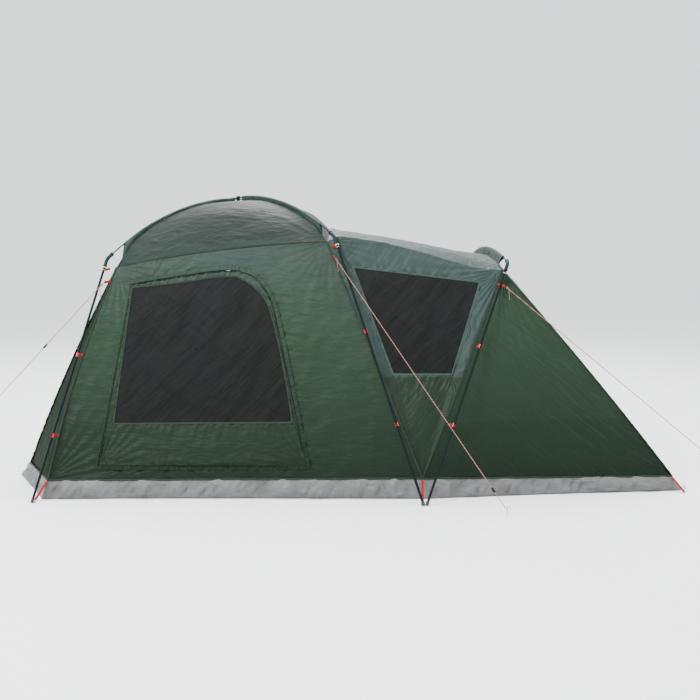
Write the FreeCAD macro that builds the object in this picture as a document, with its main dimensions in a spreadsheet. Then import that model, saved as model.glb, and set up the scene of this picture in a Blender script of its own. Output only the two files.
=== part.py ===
"""Family dome tent on poles: a square dome room, a hoop room and a sloping tail, as separate parts.

Millimetres. X runs along the tent towards the tail, Y runs towards the rear side, Z is up.
The origin is on the ground, midway along and across the pitched tent. The rear mirrors the front.
"""
import FreeCAD, Part
import math
import os

V = FreeCAD.Vector
FRONT = -1
REAR = 1
SIDES = (("front", FRONT), ("rear", REAR))

SIZES = {
    # crossing poles of the dome and the hoop pole
    "hub_x": -783, "hub_z": 2000, "hub_rise": 3, "crown_x": 1098, "crown_z": 1626,
    "pole_radius": 4.75, "pole_bore": 3.2, "ferrule_radius": 6, "ferrule_bore": 5.1, "ferrule_length": 60,
    "cross_gap": 12, "hub_width": 26, "hub_height": 36, "hub_bore": 5.6, "hub_stem": 5, "stem_length": 11,
    "hook_radius": 9, "hook_wire": 2, "hook_clear": 2.6, "patch_radius": 62, "patch_edge": 54, "patch_rise": 3,
    # elbows, as the corner where pole line and leg line meet
    "left_elbow_x": -1555, "left_elbow_y": 1100, "left_elbow_z": 1540,
    "mid_elbow_x": -35, "mid_elbow_y": 1098, "mid_elbow_z": 1690,
    "hoop_elbow_x": 1116, "hoop_elbow_y": 1188, "hoop_elbow_z": 1517,
    "elbow_radius": 12, "elbow_arm": 58, "elbow_bend": 62, "socket_depth": 30, "pole_socket": 5,
    "leg_socket": 8.2,
    "collar_radius": 14, "collar_width": 9, "marker_radius": 11.3, "marker_wire": 3, "leg_hook_radius": 10.4,
    "leg_hook_drop": 22, "bend_end": 12,
    # steel legs in three sections
    "leg_radius": 8, "leg_bore": 7, "insert_radius": 6.8, "insert_length": 90, "section_gap": 0.6,
    "left_foot_x": -1942, "left_foot_y": 1628, "mid_foot_x": 541, "mid_foot_y": 1708, "foot_spread": 12,
    "cap_radius": 10.5, "cap_length": 24, "cap_bore": 8.15, "cap_floor": 4,
    "pin_radius": 2.5, "ring_radius": 15, "ring_lift": 0.4, "ring_gap": 5,
    # clips, webbing and cords
    "clip_radius": 12.5, "clip_bore": 8.4, "clip_length": 26, "webbing": 20, "webbing_thickness": 1.6,
    "strap_end": 9, "fitting_clear": 14.8, "clip_clear": 12.9, "leg_clear": 8.8, "loop_gap": 5, "knot_gap": 6,
    "cord_radius": 2.5, "slider_length": 34, "slider_width": 15, "slider_thickness": 8, "slider_bore": 3.1,
    "peg_radius": 3, "peg_height": 42, "peg_hook": 11, "peg_tie": 34, "touch_gap": 0.6,
    # floor outline
    "corner_left_x": -1915, "corner_left_y": 1511, "corner_mid_x": 540, "corner_mid_y": 1505,
    "corner_tail_x": 2280, "corner_tail_y": 1244, "end_x": -2287, "end_y": 696,
    "band_left": 123, "band_mid": 133, "band_tail": 95, "band_end": 83,
    # fly sheet corners
    "left_tab_x": -1495, "left_tab_y": 1100, "left_tab_z": 1480,
    "mid_tab_x": -84, "mid_tab_y": 1076, "mid_tab_z": 1650,
    "hoop_tab_x": 1078, "hoop_tab_y": 1172, "hoop_tab_z": 1466,
    "sleeve_drop": 45, "ridge_start_x": -91, "ridge_start_z": 1764, "ridge_end_z": 1572, "tail_bulge": 28,
    "cloth": 2, "mesh_thickness": 1, "seam_gap": 5, "sleeve_radius": 8.6, "sleeve_bore": 7.2,
    "sleeve_start": 62,
    # doors and windows
    "door_gap": 6, "zip_width": 16, "zip_body": 11.2, "zip_height": 5, "zip_pull": 40, "pull_width": 6,
    "pull_height": 2, "zip_lift": 0.8,
}


def start_document():
    """Make the document and the sheet of sizes."""
    document = FreeCAD.newDocument("dome_tent")
    sheet = document.addObject("Spreadsheet::Sheet", "Sizes")
    for row, (alias, value) in enumerate(SIZES.items(), start=1):
        sheet.set(f"A{row}", alias)
        sheet.set(f"B{row}", str(value))
        sheet.setAlias(f"B{row}", alias)
    document.recompute()
    return document, sheet


doc, sizes = start_document()
kept = []


def size(alias):
    """A driving dimension, read from the sheet."""
    return float(sizes.get(alias))


def bound(kind, name, **links):
    """A document object whose properties are bound to cells of the sheet."""
    thing = doc.addObject(kind, name)
    for prop, alias in links.items():
        thing.setExpression(prop, f"Sizes.{alias}")
    return thing


def keep(label, thing):
    """Name a finished sub-part."""
    thing.Label = label
    kept.append(thing)
    return thing


def feature(name, shape):
    """An object for a shape worked out with Part's own functions."""
    thing = doc.addObject("Part::Feature", name)
    thing.Shape = shape
    return thing


def group(label, things):
    """Several like solids kept as one sub-part."""
    together = doc.addObject("Part::Compound", label)
    together.Links = things
    return keep(label, together)


def cut(name, base, tool):
    """Base with tool taken away."""
    result = doc.addObject("Part::Cut", name)
    result.Base = base
    result.Tool = tool
    return result


def fuse(name, things):
    """Several solids joined into one."""
    result = doc.addObject("Part::MultiFuse", name)
    result.Shapes = things
    return result


def mirrored(point, side):
    """A point given for the rear side, on the side asked for."""
    return V(point.x, point.y * side, point.z)


def unit(vector):
    """The vector at length one."""
    return vector * (1 / vector.Length)


def aimed(start, direction):
    """A placement at start whose Z axis points along direction."""
    return FreeCAD.Placement(start, FreeCAD.Rotation(V(0, 0, 1), direction))


def rod(name, start, end, radius):
    """A round bar from start to end."""
    bar = bound("Part::Cylinder", name, Radius=radius)
    bar.Height = (end - start).Length
    bar.Placement = aimed(start, end - start)
    return bar


def pipe(name, start, end, radius, bore):
    """A straight tube, bored right through."""
    over = unit(end - start)
    return cut(name, rod(name + "_wall", start, end, radius),
               rod(name + "_bore", start - over, end + over, bore))


def bent(name, arc, radius, begin=0.0, finish=1.0):
    """A round bar along a circular arc, between two shares of the arc's length."""
    edge = arc.toShape()
    span = edge.LastParameter - edge.FirstParameter
    centre = edge.Curve.Center
    start = edge.valueAt(edge.FirstParameter + span * begin)
    heading = edge.tangentAt(edge.FirstParameter + span * begin)
    outward = unit(start - centre)
    bar = bound("Part::Torus", name, Radius2=radius)
    bar.Radius1 = (start - centre).Length
    bar.Angle3 = math.degrees(abs(span)) * (finish - begin)
    bar.Placement = FreeCAD.Placement(centre, FreeCAD.Rotation(outward, heading, outward.cross(heading), "XYZ"))
    return bar


def bent_pipe(name, arc, radius, bore, begin=0.0, finish=1.0):
    """A tube along a circular arc, open at both ends."""
    over = 1 / arc.toShape().Length
    return cut(name, bent(name + "_wall", arc, radius, begin, finish),
               bent(name + "_bore", arc, bore, begin - over, finish + over))


def strap(name, start, end, across):
    """A flat piece of webbing from start to end, its width along across."""
    along = unit(end - start)
    face = unit(along.cross(across))
    width = face.cross(along)
    band = bound("Part::Box", name, Width="webbing", Height="webbing_thickness")
    band.Length = (end - start).Length
    turn = FreeCAD.Rotation(along, width, face, "XZY")
    middle = width * (size("webbing") / 2) + face * (size("webbing_thickness") / 2)
    band.Placement = FreeCAD.Placement(start - middle, turn)
    return band


def ring(name, centre, axis, radius, wire):
    """A closed ring of round wire."""
    hoop = bound("Part::Torus", name, Radius1=radius, Radius2=wire)
    hoop.Placement = aimed(centre, axis)
    return hoop


# ---------------------------------------------------------------- points of the frame


def elbow_corner(which, side):
    """Where the pole line and the leg line of an elbow meet."""
    return V(size(which + "_elbow_x"), side * size(which + "_elbow_y"), size(which + "_elbow_z"))


def foot_point(which, side):
    """The bottom end of a leg's axis."""
    height = size("cap_radius")
    if which == "left":
        return V(size("left_foot_x"), side * size("left_foot_y"), height)
    spread = size("foot_spread") * (-1 if which == "mid" else 1)
    return V(size("mid_foot_x") + spread, side * size("mid_foot_y"), height)


def leg_heading(which, side):
    """The direction of a leg, from its elbow down to its foot."""
    return unit(foot_point(which, side) - elbow_corner(which, side))


def arc_from(begin, heading, end):
    """The circular arc that leaves begin along heading and arrives at end."""
    chord = end - begin
    half = heading.getAngle(chord)
    normal = heading.cross(chord)
    radius = chord.Length / (2 * math.sin(half))
    inward = unit(normal.cross(heading))
    centre = begin + inward * radius
    middle = centre + FreeCAD.Rotation(unit(normal), math.degrees(half)).multVec(begin - centre)
    return Part.Arc(begin, middle, end)


def pole_crossing(level):
    """A pole's middle, over or under the other one by half the crossing gap."""
    return V(size("hub_x"), 0, size("hub_z") + level * size("cross_gap") / 2)


def roof_half(which, side, level):
    """Half of a crossing pole: the arc from the crossing to the elbow's corner."""
    middle = pole_crossing(level)
    corner = elbow_corner(which, side)
    run = V(corner.x - middle.x, corner.y - middle.y, 0)
    tilt = size("hub_rise") / 100 * (1 if which == "mid" else -1)
    heading = unit(unit(run) + V(0, 0, tilt))
    arc = arc_from(middle, heading, corner)
    arrive = arc.toShape().tangentAt(arc.toShape().LastParameter)
    return arc, arrive


def hoop_half(side):
    """Half of the hoop pole, from its crown to an elbow's corner."""
    arc = arc_from(V(size("crown_x"), 0, size("crown_z")), V(0, side, 0), elbow_corner("hoop", side))
    return arc, arc.toShape().tangentAt(arc.toShape().LastParameter)


def half_pole(which, side, level=0):
    """The half pole that ends at a given elbow, and its heading there."""
    return hoop_half(side) if which == "hoop" else roof_half(which, side, level)


def along(arc, share):
    """The point of an arc at a share of its length."""
    edge = arc.toShape()
    return edge.valueAt(edge.FirstParameter + (edge.LastParameter - edge.FirstParameter) * share)


# ---------------------------------------------------------------- poles, elbows and legs

FERRULE_SHARES = (0.36, 0.74)


def pole(label, halves):
    """A hollow glass-fibre pole: an arc each side of its middle, its sections butted end to end."""
    reach = size("elbow_arm") - size("socket_depth") + 2
    things = []
    for n, (arc, _) in enumerate(halves):
        length = arc.toShape().Length
        stops = [size("section_gap") / length, *FERRULE_SHARES, 1 - reach / length]
        for m, (begin, finish) in enumerate(zip(stops, stops[1:])):
            things.append(bent_pipe(f"{label}_{n}_{m}", arc, "pole_radius", "pole_bore", begin,
                                    finish - size("section_gap") / length))
    group(label, things)


def make_poles():
    """Two poles that cross over the dome, and the hoop."""
    pole("roof_pole_lower", [roof_half("left", FRONT, -1), roof_half("mid", REAR, -1)])
    pole("roof_pole_upper", [roof_half("mid", FRONT, 1), roof_half("left", REAR, 1)])
    pole("hoop_pole", [hoop_half(FRONT), hoop_half(REAR)])


def pole_level(which, side):
    """-1 for the lower roof pole's halves and 1 for the upper one's."""
    return -1 if (which == "left") == (side == FRONT) else 1


def make_ferrules():
    """Short metal sleeves over the joints between pole sections."""
    things = []
    for which in ("left", "mid", "hoop"):
        for _, side in SIDES:
            arc, _ = half_pole(which, side, pole_level(which, side))
            for share in FERRULE_SHARES:
                centre = along(arc, share)
                heading = unit(along(arc, share + 0.01) - along(arc, share - 0.01))
                half = heading * (size("ferrule_length") / 2)
                things.append(pipe(f"ferrule_{which}_{side}_{int(share * 100)}", centre - half, centre + half,
                                   "ferrule_radius", "ferrule_bore"))
    group("pole_ferrules", things)


def make_hub():
    """The block that holds the poles where they cross, with its stem and the hook under it."""
    middle = V(size("hub_x"), 0, size("hub_z"))
    block = bound("Part::Box", "hub_block", Length="hub_width", Width="hub_width", Height="hub_height")
    half = size("hub_width") / 2
    block.Placement.Base = middle - V(half, half, size("hub_height") / 2)
    bores = []
    for which, level in (("left", -1), ("mid", 1)):
        centre = pole_crossing(level)
        run = along(roof_half(which, FRONT, level)[0], 0.01) - centre
        reach = unit(V(run.x, run.y, 0)) * size("hub_width")
        bores.append(rod(f"hub_bore_{which}", centre - reach, centre + reach, "hub_bore"))
    base = middle - V(0, 0, size("hub_height") / 2)
    tip = base - V(0, 0, size("stem_length"))
    stem = rod("hub_stem", base + V(0, 0, size("hub_stem") / 2), tip, "hub_stem")
    body = cut("hub_body", fuse("hub_solid", [block, stem]), fuse("hub_bores", bores))
    keep("hub_cross", body)
    eye = tip - V(0, 0, size("touch_gap") + size("hook_radius") + size("hook_wire"))
    keep("roof_ring", ring("roof_ring", eye, V(0, 1, 0), "hook_radius", "hook_wire"))
    patch = bound("Part::Cone", "patch_sheet", Radius1="patch_radius", Radius2="patch_edge", Height="cloth")
    patch.Placement.Base = V(middle.x, 0, middle.z - size("sleeve_drop") + size("patch_rise"))
    slot = ring("patch_slot", eye, V(0, 1, 0), "hook_radius", "hook_clear")
    keep("apex_patch", cut("apex_patch", patch, slot))


def elbow(name, which, side):
    """A bent socket: pole in one end, leg in the other, with a collar at each mouth."""
    corner = elbow_corner(which, side)
    arc, arrive = half_pole(which, side, pole_level(which, side))
    arrive = unit(arrive)
    leave = leg_heading(which, side)
    arm = size("elbow_arm")
    turn = arrive.getAngle(leave)
    trim = min(size("elbow_bend") * math.tan(turn / 2), arm - size("bend_end"))
    mouth = corner - arrive * arm
    toe = corner + leave * arm
    start = corner - arrive * trim
    stop = corner + leave * trim
    bisector = unit(leave - arrive)
    radius = trim / math.tan(turn / 2)
    middle = corner + bisector * (radius / math.cos(turn / 2) - radius)
    bend = Part.Arc(start, middle, stop)
    collar = arrive * size("collar_width")
    cuff = leave * size("collar_width")
    solid = fuse(name + "_solid", [bent(name + "_bend", bend, "elbow_radius"),
                                   rod(name + "_arm", mouth, start, "elbow_radius"),
                                   rod(name + "_shank", stop, toe, "elbow_radius"),
                                   rod(name + "_collar", mouth, mouth + collar, "collar_radius"),
                                   rod(name + "_cuff", toe - cuff, toe, "collar_radius")])
    depth = size("socket_depth")
    length = arc.toShape().Length
    sockets = fuse(name + "_sockets", [
        bent(name + "_pole_socket", arc, "pole_socket", 1 - (arm + 1) / length, 1 - (arm - depth) / length),
        rod(name + "_leg_socket", toe + leave, toe - leave * depth, "leg_socket")])
    return cut(name, solid, sockets)


def make_elbows():
    """Four elbows on the dome and two on the hoop, with the dome's marker rings."""
    group("dome_elbows", [elbow(f"elbow_{which}_{word}", which, side)
                          for which in ("left", "mid") for word, side in SIDES])
    group("hoop_elbows", [elbow(f"elbow_hoop_{word}", "hoop", side) for word, side in SIDES])
    things = []
    for which in ("left", "mid"):
        for word, side in SIDES:
            heading = leg_heading(which, side)
            centre = elbow_corner(which, side) + heading * (size("elbow_arm") + size("marker_wire") + 1)
            things.append(ring(f"marker_{which}_{word}", centre, heading, "marker_radius", "marker_wire"))
    group("marker_rings", things)


def leg_ends(which, side):
    """The top end of a leg's tube, inside its elbow, and its bottom end above the cap's floor."""
    corner = elbow_corner(which, side)
    heading = leg_heading(which, side)
    top = corner + heading * (size("elbow_arm") - size("socket_depth") + 1)
    bottom = foot_point(which, side) - heading * size("cap_floor")
    return top, bottom


def make_leg(label, which, side):
    """One leg: three steel tubes end to end over two inserts."""
    top, bottom = leg_ends(which, side)
    run = bottom - top
    step = unit(run)
    gap = step * size("section_gap")
    things = []
    for n in range(3):
        begin = top + run * (n / 3) + gap
        finish = top + run * ((n + 1) / 3)
        things.append(pipe(f"{label}_tube_{n + 1}", begin, finish, "leg_radius", "leg_bore"))
    for n in (1, 2):
        joint = top + run * (n / 3)
        half = step * (size("insert_length") / 2)
        things.append(rod(f"{label}_insert_{n}", joint - half, joint + half, "insert_radius"))
    group(label, things)


def make_feet():
    """Rubber caps on the legs, and the pin and ring that the corner strap hangs on each."""
    caps = []
    pins = []
    for which in ("left", "mid", "hoop"):
        for word, side in SIDES:
            name = f"{which}_{word}"
            heading = leg_heading(which, side)
            toe = foot_point(which, side)
            flat = math.sqrt(1 - heading.z ** 2)
            toe = toe + heading * ((toe.z - size("cap_radius") * flat) / abs(heading.z) - 0.01)
            back = toe - heading * size("cap_length")
            bore = toe - heading * size("cap_floor")
            caps.append(cut(f"cap_{name}", rod(f"cap_solid_{name}", toe, back, "cap_radius"),
                            rod(f"cap_bore_{name}", bore, back - heading, "cap_bore")))
            if which == "hoop":
                continue
            out = V(0, side, 0)
            reach = size("cap_radius") + size("ring_radius") + size("ring_gap")
            centre = V(toe.x, toe.y, size("pin_radius") + size("ring_lift")) - out * reach
            pins.append(ring(f"ring_{name}", centre, V(0, 0, 1), "ring_radius", "pin_radius"))
    group("leg_caps", caps)
    group("strap_rings", pins)


def make_frame():
    """Everything stiff that holds the cloth up."""
    make_poles()
    make_ferrules()
    make_hub()
    make_elbows()
    for which in ("left", "mid", "hoop"):
        for word, side in SIDES:
            make_leg(f"leg_{which}_{word}", which, side)
    make_feet()


# ---------------------------------------------------------------- cloth panels


def tab(which, side):
    """The fly sheet's corner below an elbow."""
    return V(size(which + "_tab_x"), side * size(which + "_tab_y"), size(which + "_tab_z"))


def floor_corner(which, side):
    """A corner of the ground sheet."""
    if which == "end":
        return V(size("end_x"), side * size("end_y"), 0)
    return V(size(f"corner_{which}_x"), side * size(f"corner_{which}_y"), 0)


def band_top(which, side):
    """The top of the ground sheet's turned-up band above a floor corner."""
    lean = {"left": V(41, -11 * side, 0), "mid": V(-4, -5 * side, 0), "tail": V(-57, -20 * side, 0),
            "end": V(64, -16 * side, 0)}[which]
    return floor_corner(which, side) + lean + V(0, 0, size("band_" + which))


def plane_of(a, b, c):
    """The unit normal of the plane through three points."""
    return unit((b - a).cross(c - a))


def on_plane(a, normal, x, z):
    """The point of a plane at a given X and Z."""
    return V(x, a.y - ((x - a.x) * normal.x + (z - a.z) * normal.z) / normal.y, z)


def shrunk(points, gap):
    """A flat outline moved inwards by gap along every edge."""
    wire = Part.makePolygon(points + [points[0]])
    return wire.makeOffset2D(-gap, 2, False, False, True)


def plate(face, thickness):
    """A flat face given a thickness, half to each side."""
    normal = face.normalAt(0, 0)
    return face.translated(normal * (-thickness / 2)).extrude(normal * thickness)


def panel(points, holes=(), thickness="cloth"):
    """A flat cloth panel with its outline pulled in by the seam gap, and openings cut out."""
    face = Part.Face(shrunk(points, size("seam_gap")))
    for hole in holes:
        face = face.cut(Part.Face(hole))
    return plate(face.Faces[0], size(thickness))


def draped(rows, thickness):
    """A curved sheet through rows of points, as a closed solid of flat facets."""
    high = len(rows)
    wide = len(rows[0])

    def normal(i, j):
        """The sheet's normal at one point of the grid."""
        du = rows[min(i + 1, high - 1)][j] - rows[max(i - 1, 0)][j]
        dv = rows[i][min(j + 1, wide - 1)] - rows[i][max(j - 1, 0)]
        return unit(du.cross(dv))

    def shifted(sign):
        """The grid moved along its normals by half the thickness."""
        return [[rows[i][j] + normal(i, j) * (sign * thickness / 2) for j in range(wide)] for i in range(high)]

    skins = (shifted(1), shifted(-1))
    faces = []

    def quad(a, b, c, d):
        """Two triangles over four points."""
        faces.append(Part.Face(Part.makePolygon([a, b, c, a])))
        faces.append(Part.Face(Part.makePolygon([a, c, d, a])))

    for grid in skins:
        for i in range(high - 1):
            for j in range(wide - 1):
                quad(grid[i][j], grid[i + 1][j], grid[i + 1][j + 1], grid[i][j + 1])
    rim = [(0, j) for j in range(wide - 1)] + [(i, wide - 1) for i in range(high - 1)]
    rim += [(high - 1, j) for j in range(wide - 1, 0, -1)] + [(i, 0) for i in range(high - 1, 0, -1)]
    for (i, j), (k, m) in zip(rim, rim[1:] + rim[:1]):
        quad(skins[0][i][j], skins[0][k][m], skins[1][k][m], skins[1][i][j])
    shell = Part.Shell(faces)
    shell.sewShape()
    solid = Part.Solid(shell)
    if solid.Volume < 0:
        solid.reverse()
    return solid


def ridge(which, side, share):
    """A point of the roof's ridge under a pole, from the apex (0) to the corner tab (1)."""
    arc, _ = roof_half(which, side, 0)
    point = along(arc, 0.9 * share) - V(0, 0, size("sleeve_drop"))
    last = along(arc, 0.9) - V(0, 0, size("sleeve_drop"))
    ease = max(0.0, (share - 0.75) / 0.25) ** 2
    return point + (tab(which, side) - last) * ease


def roof_sector(one, other, arch):
    """The roof between two ridges, its lower edge arched by a height."""
    steps = (0.055, 0.25, 0.45, 0.65, 0.82, 0.92, 0.994)
    across = (0.006, 0.2, 0.4, 0.6, 0.8, 0.994)
    rows = []
    for share in steps:
        a = ridge(*one, share)
        b = ridge(*other, share)
        pull = size("seam_gap") / (b - a).Length
        row = []
        for u in across:
            w = min(max(u, pull), 1 - pull)
            row.append(a + (b - a) * w + V(0, 0, arch * share ** 2 * 4 * w * (1 - w)))
        rows.append(row)
    return draped(rows, size("cloth"))


def make_roof():
    """The dome's roof, four sectors that meet under the poles."""
    rise = size("ridge_start_z") - size("mid_tab_z")
    sectors = (("front", ("left", FRONT), ("mid", FRONT), 0), ("rear", ("mid", REAR), ("left", REAR), 0),
               ("end", ("left", REAR), ("left", FRONT), 0), ("room", ("mid", FRONT), ("mid", REAR), rise))
    group("dome_roof", [feature("roof_" + word, roof_sector(one, other, arch))
                        for word, one, other, arch in sectors])


def wall_plane(side):
    """A point and the normal of the dome's side wall."""
    return tab("left", side), plane_of(tab("left", side), band_top("left", side), band_top("mid", side))


# doors and windows, as X and Z (Y and Z on the end) of points on the wall's plane
DOOR_LEFT_X = (-1552, -1385)
DOOR_RIGHT_X = -204
DOOR_BASE_Z = 205
DOOR_HEAD_Z = 1375
DOOR_ARCH = ((-810, 1464), (-690, 1464), (-500, 1368), (-415, 1150))
DOOR_NET = ((-1470, 470), (-1384, 1350), (-1034, 1386), (-841, 1421), (-690, 1424), (-590, 1375),
            (-508, 1295), (-463, 1215), (-400, 986), (-337, 683), (-305, 480))
END_DOOR = ((-620, 150), (-900, 1250), (900, 1250), (620, 150))
WINDOW = ((88, 1488), (932, 1388), (738, 788), (352, 786))
# the hoop room's roof edge on the rear side, and the height of its ridge over the same four stations
EAVE = ((-30, 1055, 1702), (510, 1118, 1596), (900, 1152, 1478), (1062, 1165, 1476))
ROOM_RIDGE = ((-65, 1768), (500, 1667), (880, 1592), (1062, 1572))
ROOM_WALL_DROP = 14


def door_outline(side, gap):
    """The arched outline of a side door, shrunk by gap: straight sill and hinge edge, rounded free corner."""
    origin, normal = wall_plane(side)

    def at(x, z):
        """A point of the wall."""
        return on_plane(origin, normal, x, z)

    hinge_foot = at(DOOR_LEFT_X[0], DOOR_BASE_Z)
    hinge_head = at(DOOR_LEFT_X[1], DOOR_HEAD_Z)
    crest, bend_in, bend, bend_out = [at(x, z) for x, z in DOOR_ARCH]
    sill = at(DOOR_RIGHT_X, DOOR_BASE_Z)
    edges = [Part.LineSegment(hinge_foot, hinge_head), Part.LineSegment(hinge_head, crest),
             Part.LineSegment(crest, bend_in), Part.Arc(bend_in, bend, bend_out),
             Part.LineSegment(bend_out, sill), Part.LineSegment(sill, hinge_foot)]
    wire = Part.Wire([edge.toShape() for edge in edges])
    return wire.makeOffset2D(-gap, 0, False, False, True) if gap else wire


def door_mesh_outline(side, gap):
    """The door's net window: it stops above the door's lower cloth panel."""
    origin, normal = wall_plane(side)
    points = [on_plane(origin, normal, x, z) for x, z in DOOR_NET]
    return shrunk(points, gap) if gap else Part.makePolygon(points + [points[0]])


def make_side_walls():
    """The dome's long walls, each with an arched door that holds a net window."""
    for word, side in SIDES:
        origin, normal = wall_plane(side)
        top = on_plane(origin, normal, size("mid_tab_x"), size("mid_tab_z"))
        outline = [origin, top, band_top("mid", side), band_top("left", side)]
        keep(word + "_wall", feature(word + "_wall", panel(outline, [door_outline(side, 0)])))
        door = Part.Face(door_outline(side, size("door_gap")))
        door = door.cut(Part.Face(door_mesh_outline(side, 0)))
        keep(word + "_door", feature(word + "_door", plate(door.Faces[0], size("cloth"))))
        net = Part.Face(door_mesh_outline(side, 1))
        keep(word + "_door_net", feature(word + "_door_net", plate(net, size("mesh_thickness"))))


def end_outline(inset):
    """The end door's four-sided outline, pulled in by inset."""
    low = band_top("end", REAR)
    high = tab("left", REAR)
    points = []
    for y, z in END_DOOR:
        share = (z - low.z) / (high.z - low.z)
        points.append(V(low.x + (high.x - low.x) * share, y, z))
    return shrunk(points, inset) if inset else Part.makePolygon(points + [points[0]])


def make_end():
    """The leaning end wall with its door, and the corner gussets beside it."""
    low = [band_top("end", side) for _, side in SIDES]
    high = [tab("left", side) for _, side in SIDES]
    wall = panel([low[0], high[0], high[1], low[1]], [end_outline(0)])
    keep("end_wall", feature("end_wall", wall))
    keep("end_door", feature("end_door", plate(Part.Face(end_outline(size("door_gap"))), size("cloth"))))
    group("end_gussets", [feature("gusset_" + word, panel([tab("left", side), band_top("left", side),
                                                           band_top("end", side)])) for word, side in SIDES])


def eave(side):
    """The line where the hoop room's roof meets its side wall."""
    return [V(x, side * y, z) for x, y, z in EAVE]


def hoop_wall_plane(side):
    """A point and the normal of the hoop room's side wall."""
    corner = band_top("mid", side)
    start, *_, end = eave(side)
    lower = V(-10, side * 11, -12)
    return corner, plane_of(corner, start + lower, end)


def window_outline(side, gap):
    """The hoop room's four-sided net window."""
    origin, normal = hoop_wall_plane(side)
    points = [on_plane(origin, normal, x, z) for x, z in WINDOW]
    return shrunk(points, gap) if gap else Part.makePolygon(points + [points[0]])


def make_hoop_room():
    """Roof, side walls and net windows between the dome and the hoop."""
    nets = []
    for word, side in SIDES:
        origin, normal = hoop_wall_plane(side)
        tops = [on_plane(origin, normal, p.x, p.z - ROOM_WALL_DROP) for p in eave(side)]
        points = [*tops, on_plane(origin, normal, origin.x + 8, origin.z)]
        wall = panel(points, [window_outline(side, 0)])
        keep(f"hoop_room_{word}", feature(f"hoop_room_{word}", wall))
        net = Part.Face(window_outline(side, 1))
        nets.append(feature("window_" + word, plate(net, size("mesh_thickness"))))
    group("window_nets", nets)
    rows = []
    overlap = 8
    for n, (edge, (ridge_x, ridge_z)) in enumerate(zip(eave(REAR), ROOM_RIDGE)):
        row = []
        edge_x = edge.x + (overlap if n == 0 else 0)
        for v in (-1, -0.66, -0.33, 0, 0.33, 0.66, 1):
            lift = (ridge_z - edge.z) * (1 - v * v)
            row.append(V(ridge_x + (edge_x - ridge_x) * v * v, edge.y * v, edge.z + overlap + lift))
        rows.append(row)
    keep("hoop_room_roof", feature("hoop_room_roof", draped(rows, size("cloth"))))


def make_tail():
    """The tail's side walls and its sloping end."""
    for word, side in SIDES:
        top = V(size("hoop_tab_x") + 12, side * size("hoop_tab_y"), size("hoop_tab_z") - 6)
        wall = panel([top, band_top("mid", side) + V(12, 0, 0), band_top("tail", side)])
        keep(f"tail_{word}", feature(f"tail_{word}", wall))
    low = band_top("tail", REAR)
    top_x = size("hoop_tab_x") + 20
    rows = []
    for s in (0.005, 0.2, 0.4, 0.6, 0.8, 0.992):
        row = []
        half = size("hoop_tab_y") + (low.y - size("hoop_tab_y")) * s
        side_z = size("hoop_tab_z") + (low.z - size("hoop_tab_z")) * s
        crown = size("ridge_end_z") - size("hoop_tab_z")
        for v in (-0.994, -0.6, -0.2, 0.2, 0.6, 0.994):
            lift = (crown * (1 - s) + size("tail_bulge") * 4 * s * (1 - s)) * (1 - v * v)
            row.append(V(top_x + (low.x - top_x) * s + 4, half * v, side_z + lift + 3))
        rows.append(row)
    keep("tail_panel", feature("tail_panel", draped(rows, size("cloth"))))


def make_ground_sheet():
    """The floor and its turned-up band."""
    order = [("left", FRONT), ("mid", FRONT), ("tail", FRONT), ("tail", REAR), ("mid", REAR), ("left", REAR),
             ("end", REAR), ("end", FRONT)]
    outline = [floor_corner(*corner) for corner in order]
    floor = Part.Face(Part.makePolygon(outline + [outline[0]])).extrude(V(0, 0, size("cloth")))
    keep("floor_sheet", feature("floor_sheet", floor))
    bands = {}
    for one, other in zip(order, order[1:] + order[:1]):
        low = (size("cloth") + 1) / size("band_" + one[0])
        low_other = (size("cloth") + 1) / size("band_" + other[0])
        a = floor_corner(*one)
        b = floor_corner(*other)
        side_run = unit(b - a)
        inset = side_run * 3
        at = band_top(*one)
        bt = band_top(*other)
        grid = [[a + (at - a) * low + inset, b + (bt - b) * low_other - inset],
                [at - V(0, 0, 4) + inset, bt - V(0, 0, 4) - inset]]
        name = "ends" if one[0] in ("tail", "end") and other[0] in ("tail", "end") else (
            "front" if one[1] == FRONT and other[1] == FRONT else "rear")
        bands.setdefault(name, []).append(feature(f"band_{one[0]}_{len(bands)}", draped(grid, size("cloth"))))
    for name, things in bands.items():
        group("mud_wall_" + name, things)


def make_sleeves():
    """Cloth tubes on the poles, each with the web that hangs the roof from it."""
    things = []
    for which in ("left", "mid"):
        for word, side in SIDES:
            arc, _ = roof_half(which, side, pole_level(which, side))
            first = size("sleeve_start") / arc.toShape().Length
            name = f"sleeve_{which}_{word}"
            things.append(bent_pipe(name, arc, "sleeve_radius", "sleeve_bore", first, 0.86))
            shares = (first, 0.25, 0.45, 0.65, 0.86)
            rows = [[along(arc, s) - V(0, 0, size("sleeve_radius") + 1.5),
                     along(roof_half(which, side, 0)[0], s) - V(0, 0, size("sleeve_drop") - 6)] for s in shares]
            things.append(feature(name + "_web", draped(rows, size("cloth") / 2)))
    group("roof_sleeves", things)
    skins = [bent_pipe(f"hoop_sleeve_{word}", hoop_half(side)[0], "sleeve_radius", "sleeve_bore", 0.001, 0.82)
             for word, side in SIDES]
    rows = []
    for v in (-0.8, -0.5, -0.2, 0.2, 0.5, 0.8):
        arc, _ = hoop_half(FRONT if v < 0 else REAR)
        point = along(arc, abs(v))
        low = size("hoop_tab_z") + (size("ridge_end_z") - size("hoop_tab_z")) * (1 - v * v) + 12
        rows.append([point - V(0, 0, size("sleeve_radius") + 1.5), V(point.x - 10, point.y, low)])
    group("hoop_sleeve", [*skins, feature("hoop_sleeve_web", draped(rows, size("cloth") / 2))])


# ---------------------------------------------------------------- fittings and cords


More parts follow.
